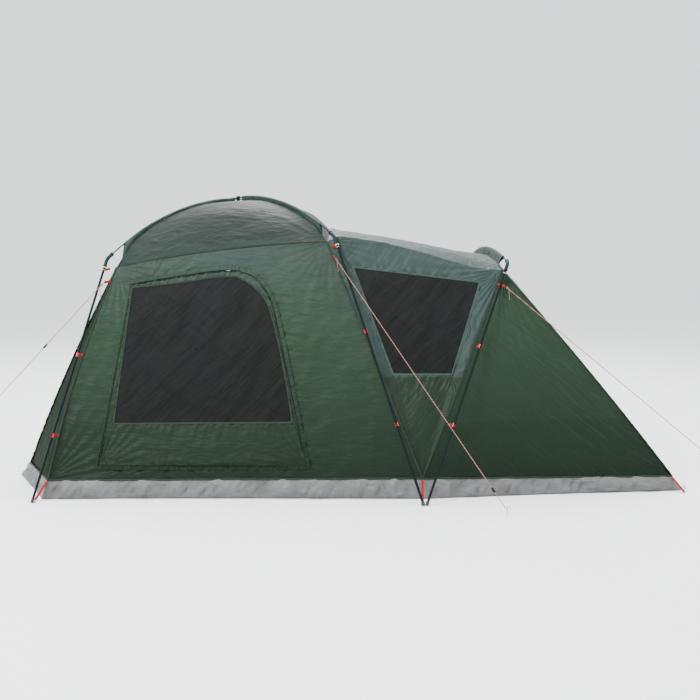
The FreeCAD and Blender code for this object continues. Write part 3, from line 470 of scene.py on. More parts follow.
def tone_and_light_group():
    """Group: uneven colour with painted light. Broad noise on Object coordinates lightens and darkens the
    colour and mixes in a cooler tint, a painted reflection of the sky. The foot's share near the ground and
    the head's share at the eaves scale it by height: painted shade towards the ground, painted light at the
    eaves."""
    settings = [("Color", "NodeSocketColor", None), ("Amount", "NodeSocketFloat", 0.15),
                ("Scale", "NodeSocketFloat", 2.0), ("Foot", "NodeSocketFloat", 1.0),
                ("Head", "NodeSocketFloat", 1.0)]
    results = [("Color", "NodeSocketColor"), ("Mask", "NodeSocketFloat")]
    tree, into, out = new_group("cloth_fade", settings, results)
    coords = tree.nodes.new("ShaderNodeTexCoord")
    broad = set_node(tree, "ShaderNodeTexNoise", Detail=6, Roughness=0.62)
    link(tree, coords, "Object", broad, "Vector")
    link(tree, into, "Scale", broad, "Scale")
    centred = math_node(tree, "SUBTRACT", 0.5)
    link(tree, broad, "Fac", centred, 0)
    amount = math_node(tree, "MULTIPLY")
    link(tree, centred, 0, amount, 0)
    link(tree, into, "Amount", amount, 1)
    around_one = math_node(tree, "MULTIPLY_ADD", 4)
    around_one.inputs[2].default_value = 1
    link(tree, amount, 0, around_one, 0)
    split = tree.nodes.new("ShaderNodeSeparateXYZ")
    link(tree, coords, "Object", split, 0)
    # Painted shade and light: the colour is scaled by height, from the foot's share near the ground to the
    # head's share at the eaves.
    rise = set_node(tree, "ShaderNodeMapRange", From_Min=0.1, From_Max=1.55)
    link(tree, split, "Z", rise, "Value")
    link(tree, into, "Foot", rise, "To Min")
    link(tree, into, "Head", rise, "To Max")
    level = math_node(tree, "MULTIPLY")
    link(tree, around_one, 0, level, 0)
    link(tree, rise, "Result", level, 1)
    # Painted reflection: a cooler tint, mixed in by broad patches, stands for the sky seen in the cloth's
    # sheen.
    sky_reflection = tree.nodes.new("ShaderNodeVectorMath")
    sky_reflection.operation = "MULTIPLY"
    sky_reflection.inputs[1].default_value = (0.95, 0.96, 1.03)
    link(tree, into, "Color", sky_reflection, 0)
    patch = set_node(tree, "ShaderNodeMapRange", From_Min=0.42, From_Max=0.62)
    link(tree, broad, "Fac", patch, "Value")
    mix = tree.nodes.new("ShaderNodeMix")
    mix.data_type = "RGBA"
    link(tree, patch, "Result", mix, "Factor")
    tree.links.new(into.outputs["Color"], mix.inputs[6])
    tree.links.new(sky_reflection.outputs[0], mix.inputs[7])
    shade = tree.nodes.new("ShaderNodeVectorMath")
    shade.operation = "SCALE"
    tree.links.new(mix.outputs[2], shade.inputs[0])
    link(tree, level, 0, shade, "Scale")
    link(tree, shade, 0, out, "Color")
    link(tree, broad, "Fac", out, "Mask")
    return tree


def crumple_group():
    """Group: drawn-out crumples of the cloth as a height. The UVs are turned by an angle and shortened along
    the folds, then three sizes of warped noise are added."""
    settings = [("Angle", "NodeSocketFloat", 0.0), ("Stretch", "NodeSocketFloat", 3.0)]
    tree, into, out = new_group("cloth_crumple", settings, [("Height", "NodeSocketFloat")])
    uv = tree.nodes.new("ShaderNodeUVMap")
    uv.uv_map = "cloth"
    turned = tree.nodes.new("ShaderNodeVectorRotate")
    turned.rotation_type = "Z_AXIS"
    link(tree, uv, "UV", turned, "Vector")
    link(tree, into, "Angle", turned, "Angle")
    split = tree.nodes.new("ShaderNodeSeparateXYZ")
    link(tree, turned, "Vector", split, 0)
    shorter = math_node(tree, "DIVIDE")
    link(tree, split, "X", shorter, 0)
    link(tree, into, "Stretch", shorter, 1)
    together = tree.nodes.new("ShaderNodeCombineXYZ")
    link(tree, shorter, 0, together, "X")
    link(tree, split, "Y", together, "Y")
    sizes = []
    for scale, weight in ((5.5, 0.55), (15.0, 0.50), (42.0, 0.24)):
        fold = set_node(tree, "ShaderNodeTexNoise", Scale=scale, Detail=1.5, Distortion=0.5)
        link(tree, together, 0, fold, "Vector")
        size = math_node(tree, "MULTIPLY", weight)
        link(tree, fold, "Fac", size, 0)
        sizes.append(size)
    link(tree, add_up(tree, sizes), 0, out, "Height")
    return tree


def group_node(tree, name, maker, **values):
    """A node group, made once and placed in a material with its own values."""
    node = tree.nodes.new("ShaderNodeGroup")
    node.node_tree = bpy.data.node_groups.get(name) or maker()
    for key, value in values.items():
        node.inputs[key].default_value = value
    return node


def base_material(name, roughness, metallic=0.0, **extras):
    """A Principled material with its constant sockets set directly."""
    material = bpy.data.materials.new(name)
    material.use_nodes = True
    tree = material.node_tree
    shader = tree.nodes["Principled BSDF"]
    shader.inputs["Roughness"].default_value = roughness
    shader.inputs["Metallic"].default_value = metallic
    for key, value in extras.items():
        shader.inputs[key.replace("_", " ")].default_value = value
    return material, tree, shader


def add_bump(tree, shader, source, out, strength, distance, under=None):
    """Feed a height into the shader's normal, over another bump where one is given."""
    bump = set_node(tree, "ShaderNodeBump", Strength=strength, Distance=distance)
    link(tree, source, out, bump, "Height")
    if under is not None:
        link(tree, under, "Normal", bump, "Normal")
    if shader is not None:
        link(tree, bump, "Normal", shader, "Normal")
    return bump


def tone_and_light(tree, color, amount, scale, foot=1.0, head=1.0):
    """The tone and painted-light group placed in a material with its own values."""
    return group_node(tree, "cloth_fade", tone_and_light_group, Color=(*color, 1), Amount=amount, Scale=scale,
                      Foot=foot, Head=head)


def woven(name, color, roughness, low=None, threads=2600.0, grid=420.0, amount=0.16, sheen=0.008,
          mottle_scale=1.6, bump=0.25, crumple=0.03, angle=0.0, stretch=3.0, shine=0.2, split_at=None,
          blur=0.004, foot=1.0, head=1.0):
    """Cloth: weave and crumple bumps, uneven colour and, where low is given, another colour below the level
    split_at, which is the wall seam unless told otherwise, blended over blur to either side of it: a second
    dye at seams and panel edges, and painted light where the split lightens the cloth near the eaves. Foot
    and head scale the colour by height: painted shade near the ground, painted light at the eaves."""
    material, tree, shader = base_material(name, roughness, Sheen_Weight=sheen, Sheen_Roughness=0.5,
                                           Specular_IOR_Level=shine)
    fade = tone_and_light(tree, color, amount, mottle_scale, foot, head)
    source, out = fade, "Color"
    if low is not None:
        lower = tone_and_light(tree, low, amount, mottle_scale, foot, head)
        coords = tree.nodes.new("ShaderNodeTexCoord")
        split = tree.nodes.new("ShaderNodeSeparateXYZ")
        link(tree, coords, "Object", split, 0)
        level = split_at or shape().seam_height
        step = set_node(tree, "ShaderNodeMapRange", From_Min=level - blur, From_Max=level + blur)
        link(tree, split, "Z", step, "Value")
        mix = tree.nodes.new("ShaderNodeMix")
        mix.data_type = "RGBA"
        link(tree, step, "Result", mix, "Factor")
        tree.links.new(lower.outputs["Color"], mix.inputs[6])
        tree.links.new(fade.outputs["Color"], mix.inputs[7])
        source, out = mix, 2
    tree.links.new(source.outputs[out], shader.inputs["Base Color"])
    weave = group_node(tree, "cloth_weave", weave_group, Threads=threads, Grid=grid)
    rough = set_node(tree, "ShaderNodeMapRange", To_Min=roughness - 0.07, To_Max=roughness + 0.09)
    link(tree, fade, "Mask", rough, "Value")
    link(tree, rough, "Result", shader, "Roughness")
    folds = group_node(tree, "cloth_crumple", crumple_group, Angle=angle, Stretch=stretch)
    soft = add_bump(tree, None, folds, "Height", 1.0, crumple)
    add_bump(tree, shader, weave, "Height", bump, 0.0004, soft)
    return material


def hard(name, color, roughness, metallic=0.0, grain=60.0, bump=0.08, amount=0.12, coat=0.0, shine=0.5):
    """Moulded plastic or coated metal: fine grain in the bump, uneven gloss, slightly uneven colour."""
    material, tree, shader = base_material(name, roughness, metallic, Coat_Weight=coat, Coat_Roughness=0.25,
                                           Specular_IOR_Level=shine)
    fade = tone_and_light(tree, color, amount, 14.0)
    link(tree, fade, "Color", shader, "Base Color")
    coords = tree.nodes.new("ShaderNodeTexCoord")
    fine = set_node(tree, "ShaderNodeTexNoise", Scale=grain, Detail=4)
    link(tree, coords, "Object", fine, "Vector")
    rough = set_node(tree, "ShaderNodeMapRange", To_Min=max(roughness - 0.1, 0.05), To_Max=roughness + 0.12)
    link(tree, fine, "Fac", rough, "Value")
    link(tree, rough, "Result", shader, "Roughness")
    add_bump(tree, shader, fine, "Fac", bump, 0.0006)
    return material


def finishes():
    """Every finish by name, made once."""
    store = finishes.store
    if store:
        return store
    look = looks()
    wall, low, roof = tuple(look.wall), tuple(look.low), tuple(look.roof)
    dark = tuple(c * 0.62 for c in wall)
    store.update(
        # Painted light: the lighter rim colour below 1.70 makes the roof read lit near the eaves.
        roof=woven("roof_cloth", roof, 0.42, low=tuple(look.rim_painted_light), crumple=0.018, stretch=2.2,
                   shine=0.06, split_at=1.70, blur=0.12),
        # Painted light and shade: the lighter head colour above 1.28, and the colour scaled from 0.44 at the
        # foot to 1.42 at the eaves.
        wall=woven("wall_cloth", tuple(look.head), 0.42, low=wall, crumple=0.030, angle=0.12, shine=0.07,
                   split_at=1.28, blur=0.26, foot=0.44, head=1.42),
        # Painted shade and light: the colour scaled from 0.42 at the foot to 1.4 at the eaves.
        tail=woven("tail_cloth", wall, 0.42, low=low, crumple=0.036, angle=0.72, stretch=6.0, shine=0.07,
                   foot=0.42, head=1.4),
        # Painted shade: the lower cloth darkened to 0.6, so the end wall, its door and the gussets read in
        # shade.
        end=woven("end_cloth", tuple(c * 0.6 for c in low), 0.6, angle=1.4, shine=0.01, sheen=0.0),
        # Painted shade: the colour darkened to 0.46 towards the ground.
        room=woven("hoop_room_cloth", tuple(look.trim), 0.40, low=wall, crumple=0.024, angle=-0.9,
                   stretch=4.0, shine=0.10, split_at=0.772, foot=0.46),
        # Painted light: the sleeves take the lightened casing colour.
        sleeve=woven("sleeve_cloth", tuple(look.casing_painted_light), 0.46, amount=0.2, shine=0.06),
        # Painted shade and light: the colour scaled from 0.42 at the foot to 1.3 at the eaves.
        frill=woven("window_frame_cloth", tuple(look.flap), 0.5, low=low, amount=0.24, shine=0.07,
                    foot=0.42, head=1.3),
        # Painted shade: the net darkened to 0.5 towards the ground.
        net=woven("net_cloth", tuple(look.net), 0.55, threads=2100.0, grid=1400.0, amount=0.16, bump=0.4,
                  crumple=0.024, angle=-0.75, stretch=5.0, shine=0.07, foot=0.5),
        # Broad light and dark patches: random tone, and painted shade and light for the facets of the band's
        # folds.
        ground=woven("ground_cloth", tuple(look.ground), 0.36, threads=1800.0, grid=300.0, amount=0.26,
                     mottle_scale=3.4, crumple=0.045, stretch=3.2, angle=0.25, shine=0.15),
        binding=woven("binding_tape", dark, 0.7, threads=3000.0, amount=0.1),
        webbing=woven("red_webbing_weave", tuple(look.red), 0.62, threads=3800.0, grid=1500.0, bump=0.8),
        zip=hard("zip_plastic", (0.008, 0.014, 0.010), 0.6, shine=0.05),
        red=hard("red_moulding", tuple(look.red), 0.32, coat=0.05),
        yellow=hard("yellow_moulding", tuple(look.yellow), 0.4),
        elbow=hard("elbow_moulding", (0.004, 0.017, 0.018), 0.36, shine=0.10),
        pole=hard("pole_coating", tuple(look.pole), 0.36, grain=240.0, shine=0.06),
        rod=hard("glass_fibre", (0.008, 0.012, 0.012), 0.34, grain=400.0, shine=0.10),
        steel=hard("plain_steel", (0.46, 0.47, 0.47), 0.32, metallic=1.0, grain=160.0),
        rubber=hard("foot_rubber", (0.014, 0.015, 0.015), 0.66),
        cord=cord_finish(),
        pale=hard("stage_paper", (0.93, 0.93, 0.93), 0.9, grain=3.0, bump=0.01, amount=0.004),
    )
    return store


finishes.store = {}


def cord_finish():
    """Braided cord: red and pale flecks from slanted waves over the Object coordinates."""
    material, tree, shader = base_material("guy_cord_braid", 0.7, Sheen_Weight=0.2)
    coords = tree.nodes.new("ShaderNodeTexCoord")
    waves = set_node(tree, "ShaderNodeTexWave", Scale=46.0)
    waves.bands_direction = "DIAGONAL"
    link(tree, coords, "Object", waves, "Vector")
    ramp = tree.nodes.new("ShaderNodeValToRGB")
    ramp.color_ramp.elements[0].color = (0.17, 0.024, 0.022, 1)
    ramp.color_ramp.elements[1].color = (0.22, 0.11, 0.10, 1)
    ramp.color_ramp.elements[0].position = 0.42
    ramp.color_ramp.elements[1].position = 0.62
    link(tree, waves, "Fac", ramp, "Fac")
    link(tree, ramp, "Color", shader, "Base Color")
    add_bump(tree, shader, waves, "Fac", 0.4, 0.0008)
    return material


# ---------------------------------------------------------------- borders that panels share


SEAMS = {
    "end_corner": ("tab_left", "band_left", (-0.028, 0.022, 0)),
    "mid_corner": ("tab_mid", "band_mid", (0.004, 0.034, 0)),
    "hoop_corner": ("tab_hoop", "band_mid", (0.004, 0.026, 0)),
    "tail_corner": ("tab_hoop", "band_tail", (0.006, 0, 0.020)),
    "gusset": ("tab_left", "band_end", (-0.030, 0.012, -0.010)),
    "wall_top": ("tab_left", "tab_mid", (0, -0.014, 0.030)),
}
EAVE_X = (-0.084, 0.0, 0.30, 0.51, 0.72, 0.90, 0.98, 1.078)
EAVE_Z = (1.650, 1.694, 1.648, 1.596, 1.535, 1.482, 1.470, 1.466)


def border(name, side, count):
    """A seam that two panels share, so both meet on the same points: one of SEAMS with its bow, or the
    eave, whose measured levels are smoothed along it."""
    if name in SEAMS:
        first, last, bow = SEAMS[name]
        return line(at(first, side), at(last, side), count, np.array(bow) * (1, side, 1))
    t = np.linspace(0, 1, count)
    start, stop = at("tab_mid", side), at("tab_hoop", side)
    x = start[0] + (stop[0] - start[0]) * t
    y = start[1] + (stop[1] - start[1]) * t - 0.018 * side * np.sin(math.pi * t)
    kernel = np.exp(-np.linspace(-2, 2, 9) ** 2)
    z = np.pad(np.interp(x, EAVE_X, EAVE_Z), 4, mode="reflect", reflect_type="odd")
    return np.stack([x, y, np.convolve(z, kernel / kernel.sum(), mode="valid")], 1)


CROSS_SEAMS = {"end_top": ("tab_left", 2), "room_seam": ("tab_mid", 2), "hoop_seam": ("tab_hoop", 2.4),
               "tail_foot": ("band_tail", 2), "end_foot": ("band_end", 2)}


def cross_border(name, count):
    """A seam that runs from the front to the rear: level, or bowed towards its top at the middle."""
    start, power = CROSS_SEAMS[name]
    a = at(start)
    top = {"end_top": a + (0.020, 0, 0.012), "room_seam": at("ridge_start"),
           "hoop_seam": at("ridge_end")}.get(name, a)
    v = np.linspace(-1, 1, count)
    return np.stack([a[0] + (top[0] - a[0]) * (1 - v * v), a[1] * v,
                     a[2] + (top[2] - a[2]) * (1 - np.abs(v) ** power)], 1)


# ---------------------------------------------------------------- roof


def relieved(grid, coords, outward, seed, **options):
    """A grid pushed out along its normals by the cloth's relief. outward says which way the normals go."""
    edge, along = border_distance(grid)
    height = cloth_relief(coords[..., 0], coords[..., 1], edge, along, seed, **options)
    normal = grid_normals(grid)
    normal = normal * np.sign((normal * outward).sum(-1, keepdims=True) + 1e-9)
    return grid + normal * height[..., None]


class TENT_OT_roof(bpy.types.Operator):
    """The dome's roof: four curved sectors between the poles, and the patch under the hub"""

    bl_idname = "tent.roof"
    bl_label = "Roof"

    def execute(self, context):
        sectors = (("front", ("left", FRONT), ("mid", FRONT)), ("room", ("mid", FRONT), ("mid", REAR)),
                   ("rear", ("mid", REAR), ("left", REAR)), ("end", ("left", REAR), ("left", FRONT)))
        steps = np.linspace(0.012, 1, 92)
        made = []
        for n, (word, one, other) in enumerate(sectors):
            full = 0.072 if word in ("front", "rear") else 0.018
            a, b = ridge(*one, steps), ridge(*other, steps)
            u = np.linspace(0, 1, 96)[None, :, None]
            grid = a[:, None] * (1 - u) + b[:, None] * u
            foot = {"front": border("wall_top", FRONT, 96), "rear": border("wall_top", REAR, 96)[::-1],
                    "room": cross_border("room_seam", 96), "end": cross_border("end_top", 96)[::-1]}[word]
            pull = (steps[:, None, None] ** 2.2) * (foot - grid[-1])[None]
            middle = 4 * u * (1 - u) * (steps ** 2.0 * (1 - steps) * 6.75)[:, None, None]
            outward = unit(grid[-1].mean(0) * np.array([1, 1, 0]) - at("hub") * np.array([1, 1, 0]))
            swell = middle * (outward * 0.3 + UP) * full
            reach = np.minimum(u, 1 - u) * np.linalg.norm(b - a, axis=-1)[:, None, None]
            ease = smooth((steps - 0.10) / 0.25) * smooth((1 - steps) / 0.10)
            lift = 0.031 * np.exp(-reach / 0.10) * ease[:, None, None] * UP
            grid = grid + pull + swell + lift
            coords = grid[..., :2]
            folds = [(ridge(*pole, [1.0])[0][:2], 26, 0.30, 0.003) for pole in (one, other)]
            bent = relieved(grid, coords, UP, 40 + n, folds=folds, angle=0.4 + n, amount=0.45)
            made.append((to_mesh("roof_" + word, bent, finishes()["roof"], coords=coords,
                                 thick=shape().cloth), area_of(grid)))
        joined_cloth("dome_roof_cloth", made, "dome_roof")
        self.patch()
        return {"FINISHED"}

    def patch(self):
        """A round reinforcing patch under the hub: rings of a shallow cone with its edge turned down."""
        r = np.linspace(0.002, 0.060, 14)[:, None]
        turn = np.linspace(0, 2 * math.pi, 64, endpoint=False)[None]
        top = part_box("apex_patch")[1][2]
        z = top - 0.0006 - 0.09 * r ** 2 / 0.06 + 0.0004 * np.sin(turn * 9) * r / 0.06
        grid = np.stack([at("hub")[0] + r * np.cos(turn), r * np.sin(turn), z + 0 * turn], -1)
        cloth_piece("apex_patch_cloth", grid, finishes()["binding"], "tent", "apex_patch",
                    coords=grid[..., :2], closed=True, thick=0.001)


# ---------------------------------------------------------------- walls with openings


class Plane:
    """A flat wall: a point, its outward normal, and the point over any X and Z (or Y and Z)."""

    def __init__(self, a, b, c, outward):
        normal = unit(np.cross(b - a, c - a))
        self.point = a
        self.normal = normal if normal @ outward > 0 else -normal

    def over_xz(self, x, z):
        """Wall points at given X and Z: Y solved from the plane's equation."""
        n, p = self.normal, self.point
        y = p[1] - ((x - p[0]) * n[0] + (z - p[2]) * n[2]) / n[1]
        return np.stack([x, y, z], -1)

    def over_yz(self, y, z):
        """Wall points at given Y and Z: X solved from the plane's equation."""
        n, p = self.normal, self.point
        x = p[0] - ((y - p[1]) * n[1] + (z - p[2]) * n[2]) / n[0]
        return np.stack([x, y, z], -1)


def path(points, count):
    """A smooth run of points at even spacing along a polyline."""
    points = np.asarray(points, float)
    steps = steps_along(points)
    t = np.linspace(0, steps[-1], count)
    return np.stack([np.interp(t, steps, points[:, k]) for k in range(points.shape[1])], 1)


def rounded(points, share, steps=14):
    """A polyline with its inner corners eased: each corner becomes a quadratic curve between the points a
    share of the way along its two legs."""
    points = np.asarray(points, float)
    out = [points[:1]]
    t = np.linspace(0, 1, steps)[:, None]
    for a, b, c in zip(points, points[1:], points[2:]):
        p, q = b + (a - b) * share, b + (c - b) * share
        out.append((1 - t) ** 2 * p + 2 * t * (1 - t) * b + t * t * q)
    out.append(points[-1:])
    return np.concatenate(out)


def loop(runs, count):
    """A closed loop of points from its runs, each run given the same number of points."""
    return np.concatenate([path(run, count + 1)[:-1] for run in runs])


def ring_grid(inner, outer, rows):
    """Points between two loops: straight steps from the inner loop to the outer one, closer at both ends."""
    t = np.linspace(0, 1, rows)
    t = (0.75 * t + 0.25 * smooth(t))[:, None, None]
    return inner[None] * (1 - t) + outer[None] * t


DOOR_SILL = ((-1.552, 0.205), (-0.204, 0.205))
DOOR_FREE = ((-0.204, 0.205), (-0.415, 1.150), (-0.455, 1.290), (-0.560, 1.425), (-0.690, 1.464))
DOOR_TOP = ((-0.690, 1.464), (-0.810, 1.464), (-1.060, 1.428), (-1.385, 1.375))
DOOR_HINGE = ((-1.385, 1.375), (-1.552, 0.205))
NET_SILL = ((-1.470, 0.472), (-0.305, 0.480))
NET_FREE = ((-0.305, 0.480), (-0.337, 0.683), (-0.400, 0.986), (-0.463, 1.215), (-0.508, 1.295),
            (-0.590, 1.375), (-0.690, 1.424))
NET_TOP = ((-0.690, 1.424), (-0.841, 1.421), (-1.034, 1.386), (-1.384, 1.350))
NET_HINGE = ((-1.384, 1.350), (-1.470, 0.472))
DOOR_RUNS = (DOOR_SILL, DOOR_FREE, DOOR_TOP, DOOR_HINGE)
NET_RUNS = (NET_SILL, NET_FREE, NET_TOP, NET_HINGE)
CORNER_EASE = 0.42


def door_loop(runs, count, plane, inset):
    """A loop of wall points from four runs of X and Z, moved towards its middle by inset."""
    flat = loop([rounded(run, CORNER_EASE) if len(run) > 2 else run for run in runs], count)
    middle = flat.mean(0)
    flat = flat - unit(flat - middle) * inset
    return plane.over_xz(flat[:, 0], flat[:, 1])


def free_edge(count):
    """One along the first three runs of a door's loop and zero along its hinge, eased at the corners."""
    n = np.arange(4 * count)
    return (smooth(n / 12) * smooth((3 * count - n) / 12))[None]


def ring_relief(grid, coords, normal, seed, inner_pucker=1.0, mask=1.0, **options):
    """A ring of cloth pushed out along the wall's normal by the relief measured from both its borders, with
    gathers that follow the inner border where the mask is one."""
    to_inner = np.linalg.norm(grid - grid[:1], axis=-1)
    to_outer = np.linalg.norm(grid - grid[-1:], axis=-1)
    around = np.broadcast_to(steps_along(grid[0])[None], to_inner.shape)
    edge = np.minimum(to_inner, to_outer)
    outside = np.broadcast_to(steps_along(grid[-1])[None], to_inner.shape)
    along = np.where(to_inner < to_outer, around, outside)
    height = cloth_relief(coords[..., 0], coords[..., 1], edge, along, seed, **options)
    gather = noise(around + 0.3 * to_inner, to_inner * 0.12, 0.020, seed + 21) * np.exp(-to_inner / 0.055)
    gather = gather * smooth(to_inner / 0.006) * mask
    return grid + normal * (height + inner_pucker * looks().pucker * 2.2 * gather)[..., None]


def front_plane(side):
    """The dome's side wall."""
    return Plane(at("tab_left", side), at("band_left", side), at("band_mid", side), np.array([0, side, 0.0]))


class TENT_OT_side_walls(bpy.types.Operator):
    """The dome's long walls, cut out round their doors"""

    bl_idname = "tent.side_walls"
    bl_label = "Side walls"

    def execute(self, context):
        count = 150
        for word, side in SIDES:
            plane = front_plane(side)
            inner = door_loop(DOOR_RUNS, count, plane, -0.001)
            outer = loop([line(at("band_left", side), at("band_mid", side), count + 1),
                          border("mid_corner", side, count + 1)[::-1],
                          border("wall_top", side, count + 1)[::-1],
                          border("end_corner", side, count + 1)], count)
            grid = ring_grid(inner, outer, 44)
            coords = grid[..., (0, 2)]
            folds = [(at("tab_left")[[0, 2]], 30, 0.32, 0.0030), (at("tab_mid")[[0, 2]], 30, 0.30, 0.0030),
                     (at("band_left")[[0, 2]], 34, 0.45, 0.0040), (at("band_mid")[[0, 2]], 34, 0.36, 0.0035)]
            bent = ring_relief(grid, coords, plane.normal, 60 + side, folds=folds, angle=0.2, amount=0.8,
                               mask=free_edge(count), inner_pucker=1.25)
            cloth_piece(f"{word}_wall_cloth", bent, finishes()["wall"], "tent", f"{word}_wall", coords=coords,
                        closed=True, flip=side == REAR)
        return {"FINISHED"}


def fan_grid(outline, rows):
    """A filled loop: straight steps from its middle point out to the loop."""
    middle = outline.mean(0)
    t = np.linspace(0.004, 1, rows)[:, None, None]
    return middle + (outline[None] - middle) * t


def net_piece(name, outline, normal, seed, body, node, flip):
    """A net window: a filled loop with shallow diagonal folds that die out at its border."""
    grid = fan_grid(outline, 46)
    coords = grid[..., (0, 2)]
    edge = np.linalg.norm(grid - grid[-1:], axis=-1)
    a, b = coords[..., 0], coords[..., 1]
    height = 0.010 * long_noise(a, b, -0.75, 0.09, 5.0, seed)
    height = height + 0.006 * long_noise(a, b, 1.2, 0.08, 3.5, seed + 1)
    height = height + 0.005 * crease(a, b, 0.3, seed + 2)
    height = height + 0.004 * long_noise(a, b, -0.7, 0.035, 7.0, seed + 3)
    bent = grid + normal * (height * smooth(edge / 0.12))[..., None]
    cloth_piece(name, bent, finishes()["net"], body, node, coords=coords,
                closed=True, flip=flip, thick=0.0008)


TAPE_LIFT = 0.0022


def zip_coil(name, points, normal, body):
    """A zip's teeth: a thin bar whose radius ripples along it."""
    radius = 0.0026 + 0.0007 * np.sin(np.arange(len(points)) * 1.6)
    extra(tube(name, points, radius, finishes()["zip"], up=normal), body)


def outline_tape(name, outline, normal, width, finish, body):
    """A strip of tape sewn along a closed outline."""
    points = np.concatenate([outline, outline[:1]]) + normal * TAPE_LIFT
    extra(band_strip(name, points, np.broadcast_to(normal, points.shape), width, finish, 0.0012), body)


class TENT_OT_doors(bpy.types.Operator):
    """The arched side doors: cloth border, net window, binding and zip"""

    bl_idname = "tent.doors"
    bl_label = "Side doors"

    def execute(self, context):
        count = 120
        for word, side in SIDES:
            plane = front_plane(side)
            body, flip = f"{word}_door", side == REAR
            outer = door_loop(DOOR_RUNS, count, plane, 0.002)
            inner = door_loop(NET_RUNS, count, plane, 0.0)
            grid = ring_grid(inner, outer, 24)
            coords = grid[..., (0, 2)]
            folds = [(np.array(end), 30, 0.30, 0.006) for end in DOOR_SILL]
            bent = ring_relief(grid, coords, plane.normal, 80 + side, folds=folds, angle=0.1, amount=0.5)
            cloth_piece(f"{word}_door_cloth", bent, finishes()["wall"], body, f"{word}_door", coords=coords,
                        closed=True, flip=flip)
            net_piece(f"{word}_door_net_cloth", inner, plane.normal, 90 + side, body, f"{word}_door_net",
                      flip)
            outline_tape(f"{word}_door_binding", inner, plane.normal, 0.013, finishes()["binding"], body)
            self.zip(word, side, plane)
        return {"FINISHED"}

    def zip(self, word, side, plane):
        """The zip round the free edges: a coil on the door, a frilled flap on the wall beside it."""
        flat = np.concatenate([path(rounded(run, CORNER_EASE) if len(run) > 2 else run, 260)
                               for run in DOOR_RUNS[:3]])
        flat = path(flat, 700)
        wall = plane.over_xz(flat[:, 0], flat[:, 1])
        inward = unit(np.array([-0.85, 0.0, 0.85]) - np.stack([wall[:, 0], wall[:, 1] * 0, wall[:, 2]], 1))
        coil = wall + inward * 0.010 + plane.normal * TAPE_LIFT
        zip_coil(f"{word}_zip_coil", coil, plane.normal, f"{word}_door")
        s = np.linspace(0, 1, 700) * 4.6
        frill = 0.0050 * noise(s, s * 0, 0.022, 7 + side) + 0.0024 * noise(s, s * 0, 0.011, 8 + side)
        rise = wall - inward * 0.013 + plane.normal * (0.0075 + frill)[:, None]
        flap = band_strip(f"{word}_zip_flap", rise, np.broadcast_to(plane.normal, rise.shape), 0.027,
                          finishes()["frill"], 0.0022)
        extra(flap, "tent")
        foot, head = (plane.over_xz(np.array([x]), np.array([z]))[0] for x, z in DOOR_HINGE[::-1])
        edge = line(foot, head, 160) + plane.normal * 0.0034 - np.array([0.0145, 0, 0])
        tape = band_strip(f"{word}_hinge_tape", edge, np.broadcast_to(plane.normal, edge.shape), 0.012,
                          finishes()["wall"], 0.0016)
        extra(tape, "tent")


class TENT_OT_end(bpy.types.Operator):
    """The leaning end wall with its door, and the two corner gussets"""

    bl_idname = "tent.end"
    bl_label = "End wall"

    def execute(self, context):
        out = np.array([-1.0, 0, 0.3])
        plane = Plane(at("tab_left", FRONT), at("tab_left"), at("band_end"), out)
        corners = ((-0.620, 0.150), (0.620, 0.150), (0.900, 1.250), (-0.900, 1.250))
        count = 80
        runs = [(corners[n], corners[(n + 1) % 4]) for n in range(4)]
        flat = loop(runs, count)
        middle = flat.mean(0)
        inner = plane.over_yz(flat[:, 0], flat[:, 1])
        outer = loop([cross_border("end_foot", count + 1), border("gusset", REAR, count + 1)[::-1],
                      cross_border("end_top", count + 1)[::-1], border("gusset", FRONT, count + 1)], count)
        grid = ring_grid(inner, outer, 26)
        coords = grid[..., (1, 2)]
        bent = ring_relief(grid, coords, plane.normal, 120, angle=1.4, amount=0.6)
        cloth_piece("end_wall_cloth", bent, finishes()["end"], "tent", "end_wall", coords=coords,
                    closed=True)
        flat = flat - unit(flat - middle) * 0.008
        outline = plane.over_yz(flat[:, 0], flat[:, 1])
        grid = fan_grid(outline, 60)
        coords = grid[..., (1, 2)]
        edge = np.linalg.norm(grid - grid[-1:], axis=-1)
        around = np.broadcast_to(np.arange(grid.shape[1])[None] * 0.0145, edge.shape)
        folds = [(np.array(c), 28, 0.45, 0.008) for c in corners]
        height = cloth_relief(coords[..., 0], coords[..., 1], edge, around, 130, folds=folds, amount=0.9)
        bent = grid + plane.normal * height[..., None]
        cloth_piece("end_door_cloth", bent, finishes()["end"], "end_door", "end_door", coords=coords,
                    closed=True)
        free = np.concatenate([outline[3 * count:], outline[:count + 1]])
        zip_coil("end_zip_coil", path(free, 500) + plane.normal * 0.003, plane.normal, "end_door")
        self.gussets()
        return {"FINISHED"}

    def gussets(self):
        """Triangles between a dome corner and the end: a Coons patch whose top border is one point."""
        made = []
        for word, side in SIDES:
            under = np.array([0.004, -side * 0.009, 0])
            one, other = border("end_corner", side, 90), border("gusset", side, 90) + under
            top = at("tab_left", side) + under * np.linspace(0, 1, 40)[:, None]
            low = line(at("band_left", side), at("band_end", side) + under, 40)
            grid = coons(top, low, one, other)
            coords = np.stack([grid[..., 1], grid[..., 2]], -1)
            folds = [(at("tab_left", side)[[1, 2]], 40, 0.5, 0.005),
                     (at("band_left", side)[[1, 2]], 20, 0.35, 0.007)]
            bent = relieved(grid, coords, np.array([-1.0, side, 0.2]), 140 + side, folds=folds, amount=0.8)
            made.append((to_mesh("gusset_" + word, bent, finishes()["end"], coords=coords,
                                 thick=shape().cloth, flip=side == REAR), area_of(grid)))
        joined_cloth("end_gusset_cloth", made, "end_gussets")


# ---------------------------------------------------------------- hoop room and tail


WINDOW = ((0.352, 0.786), (0.738, 0.788), (0.932, 1.388), (0.088, 1.488))


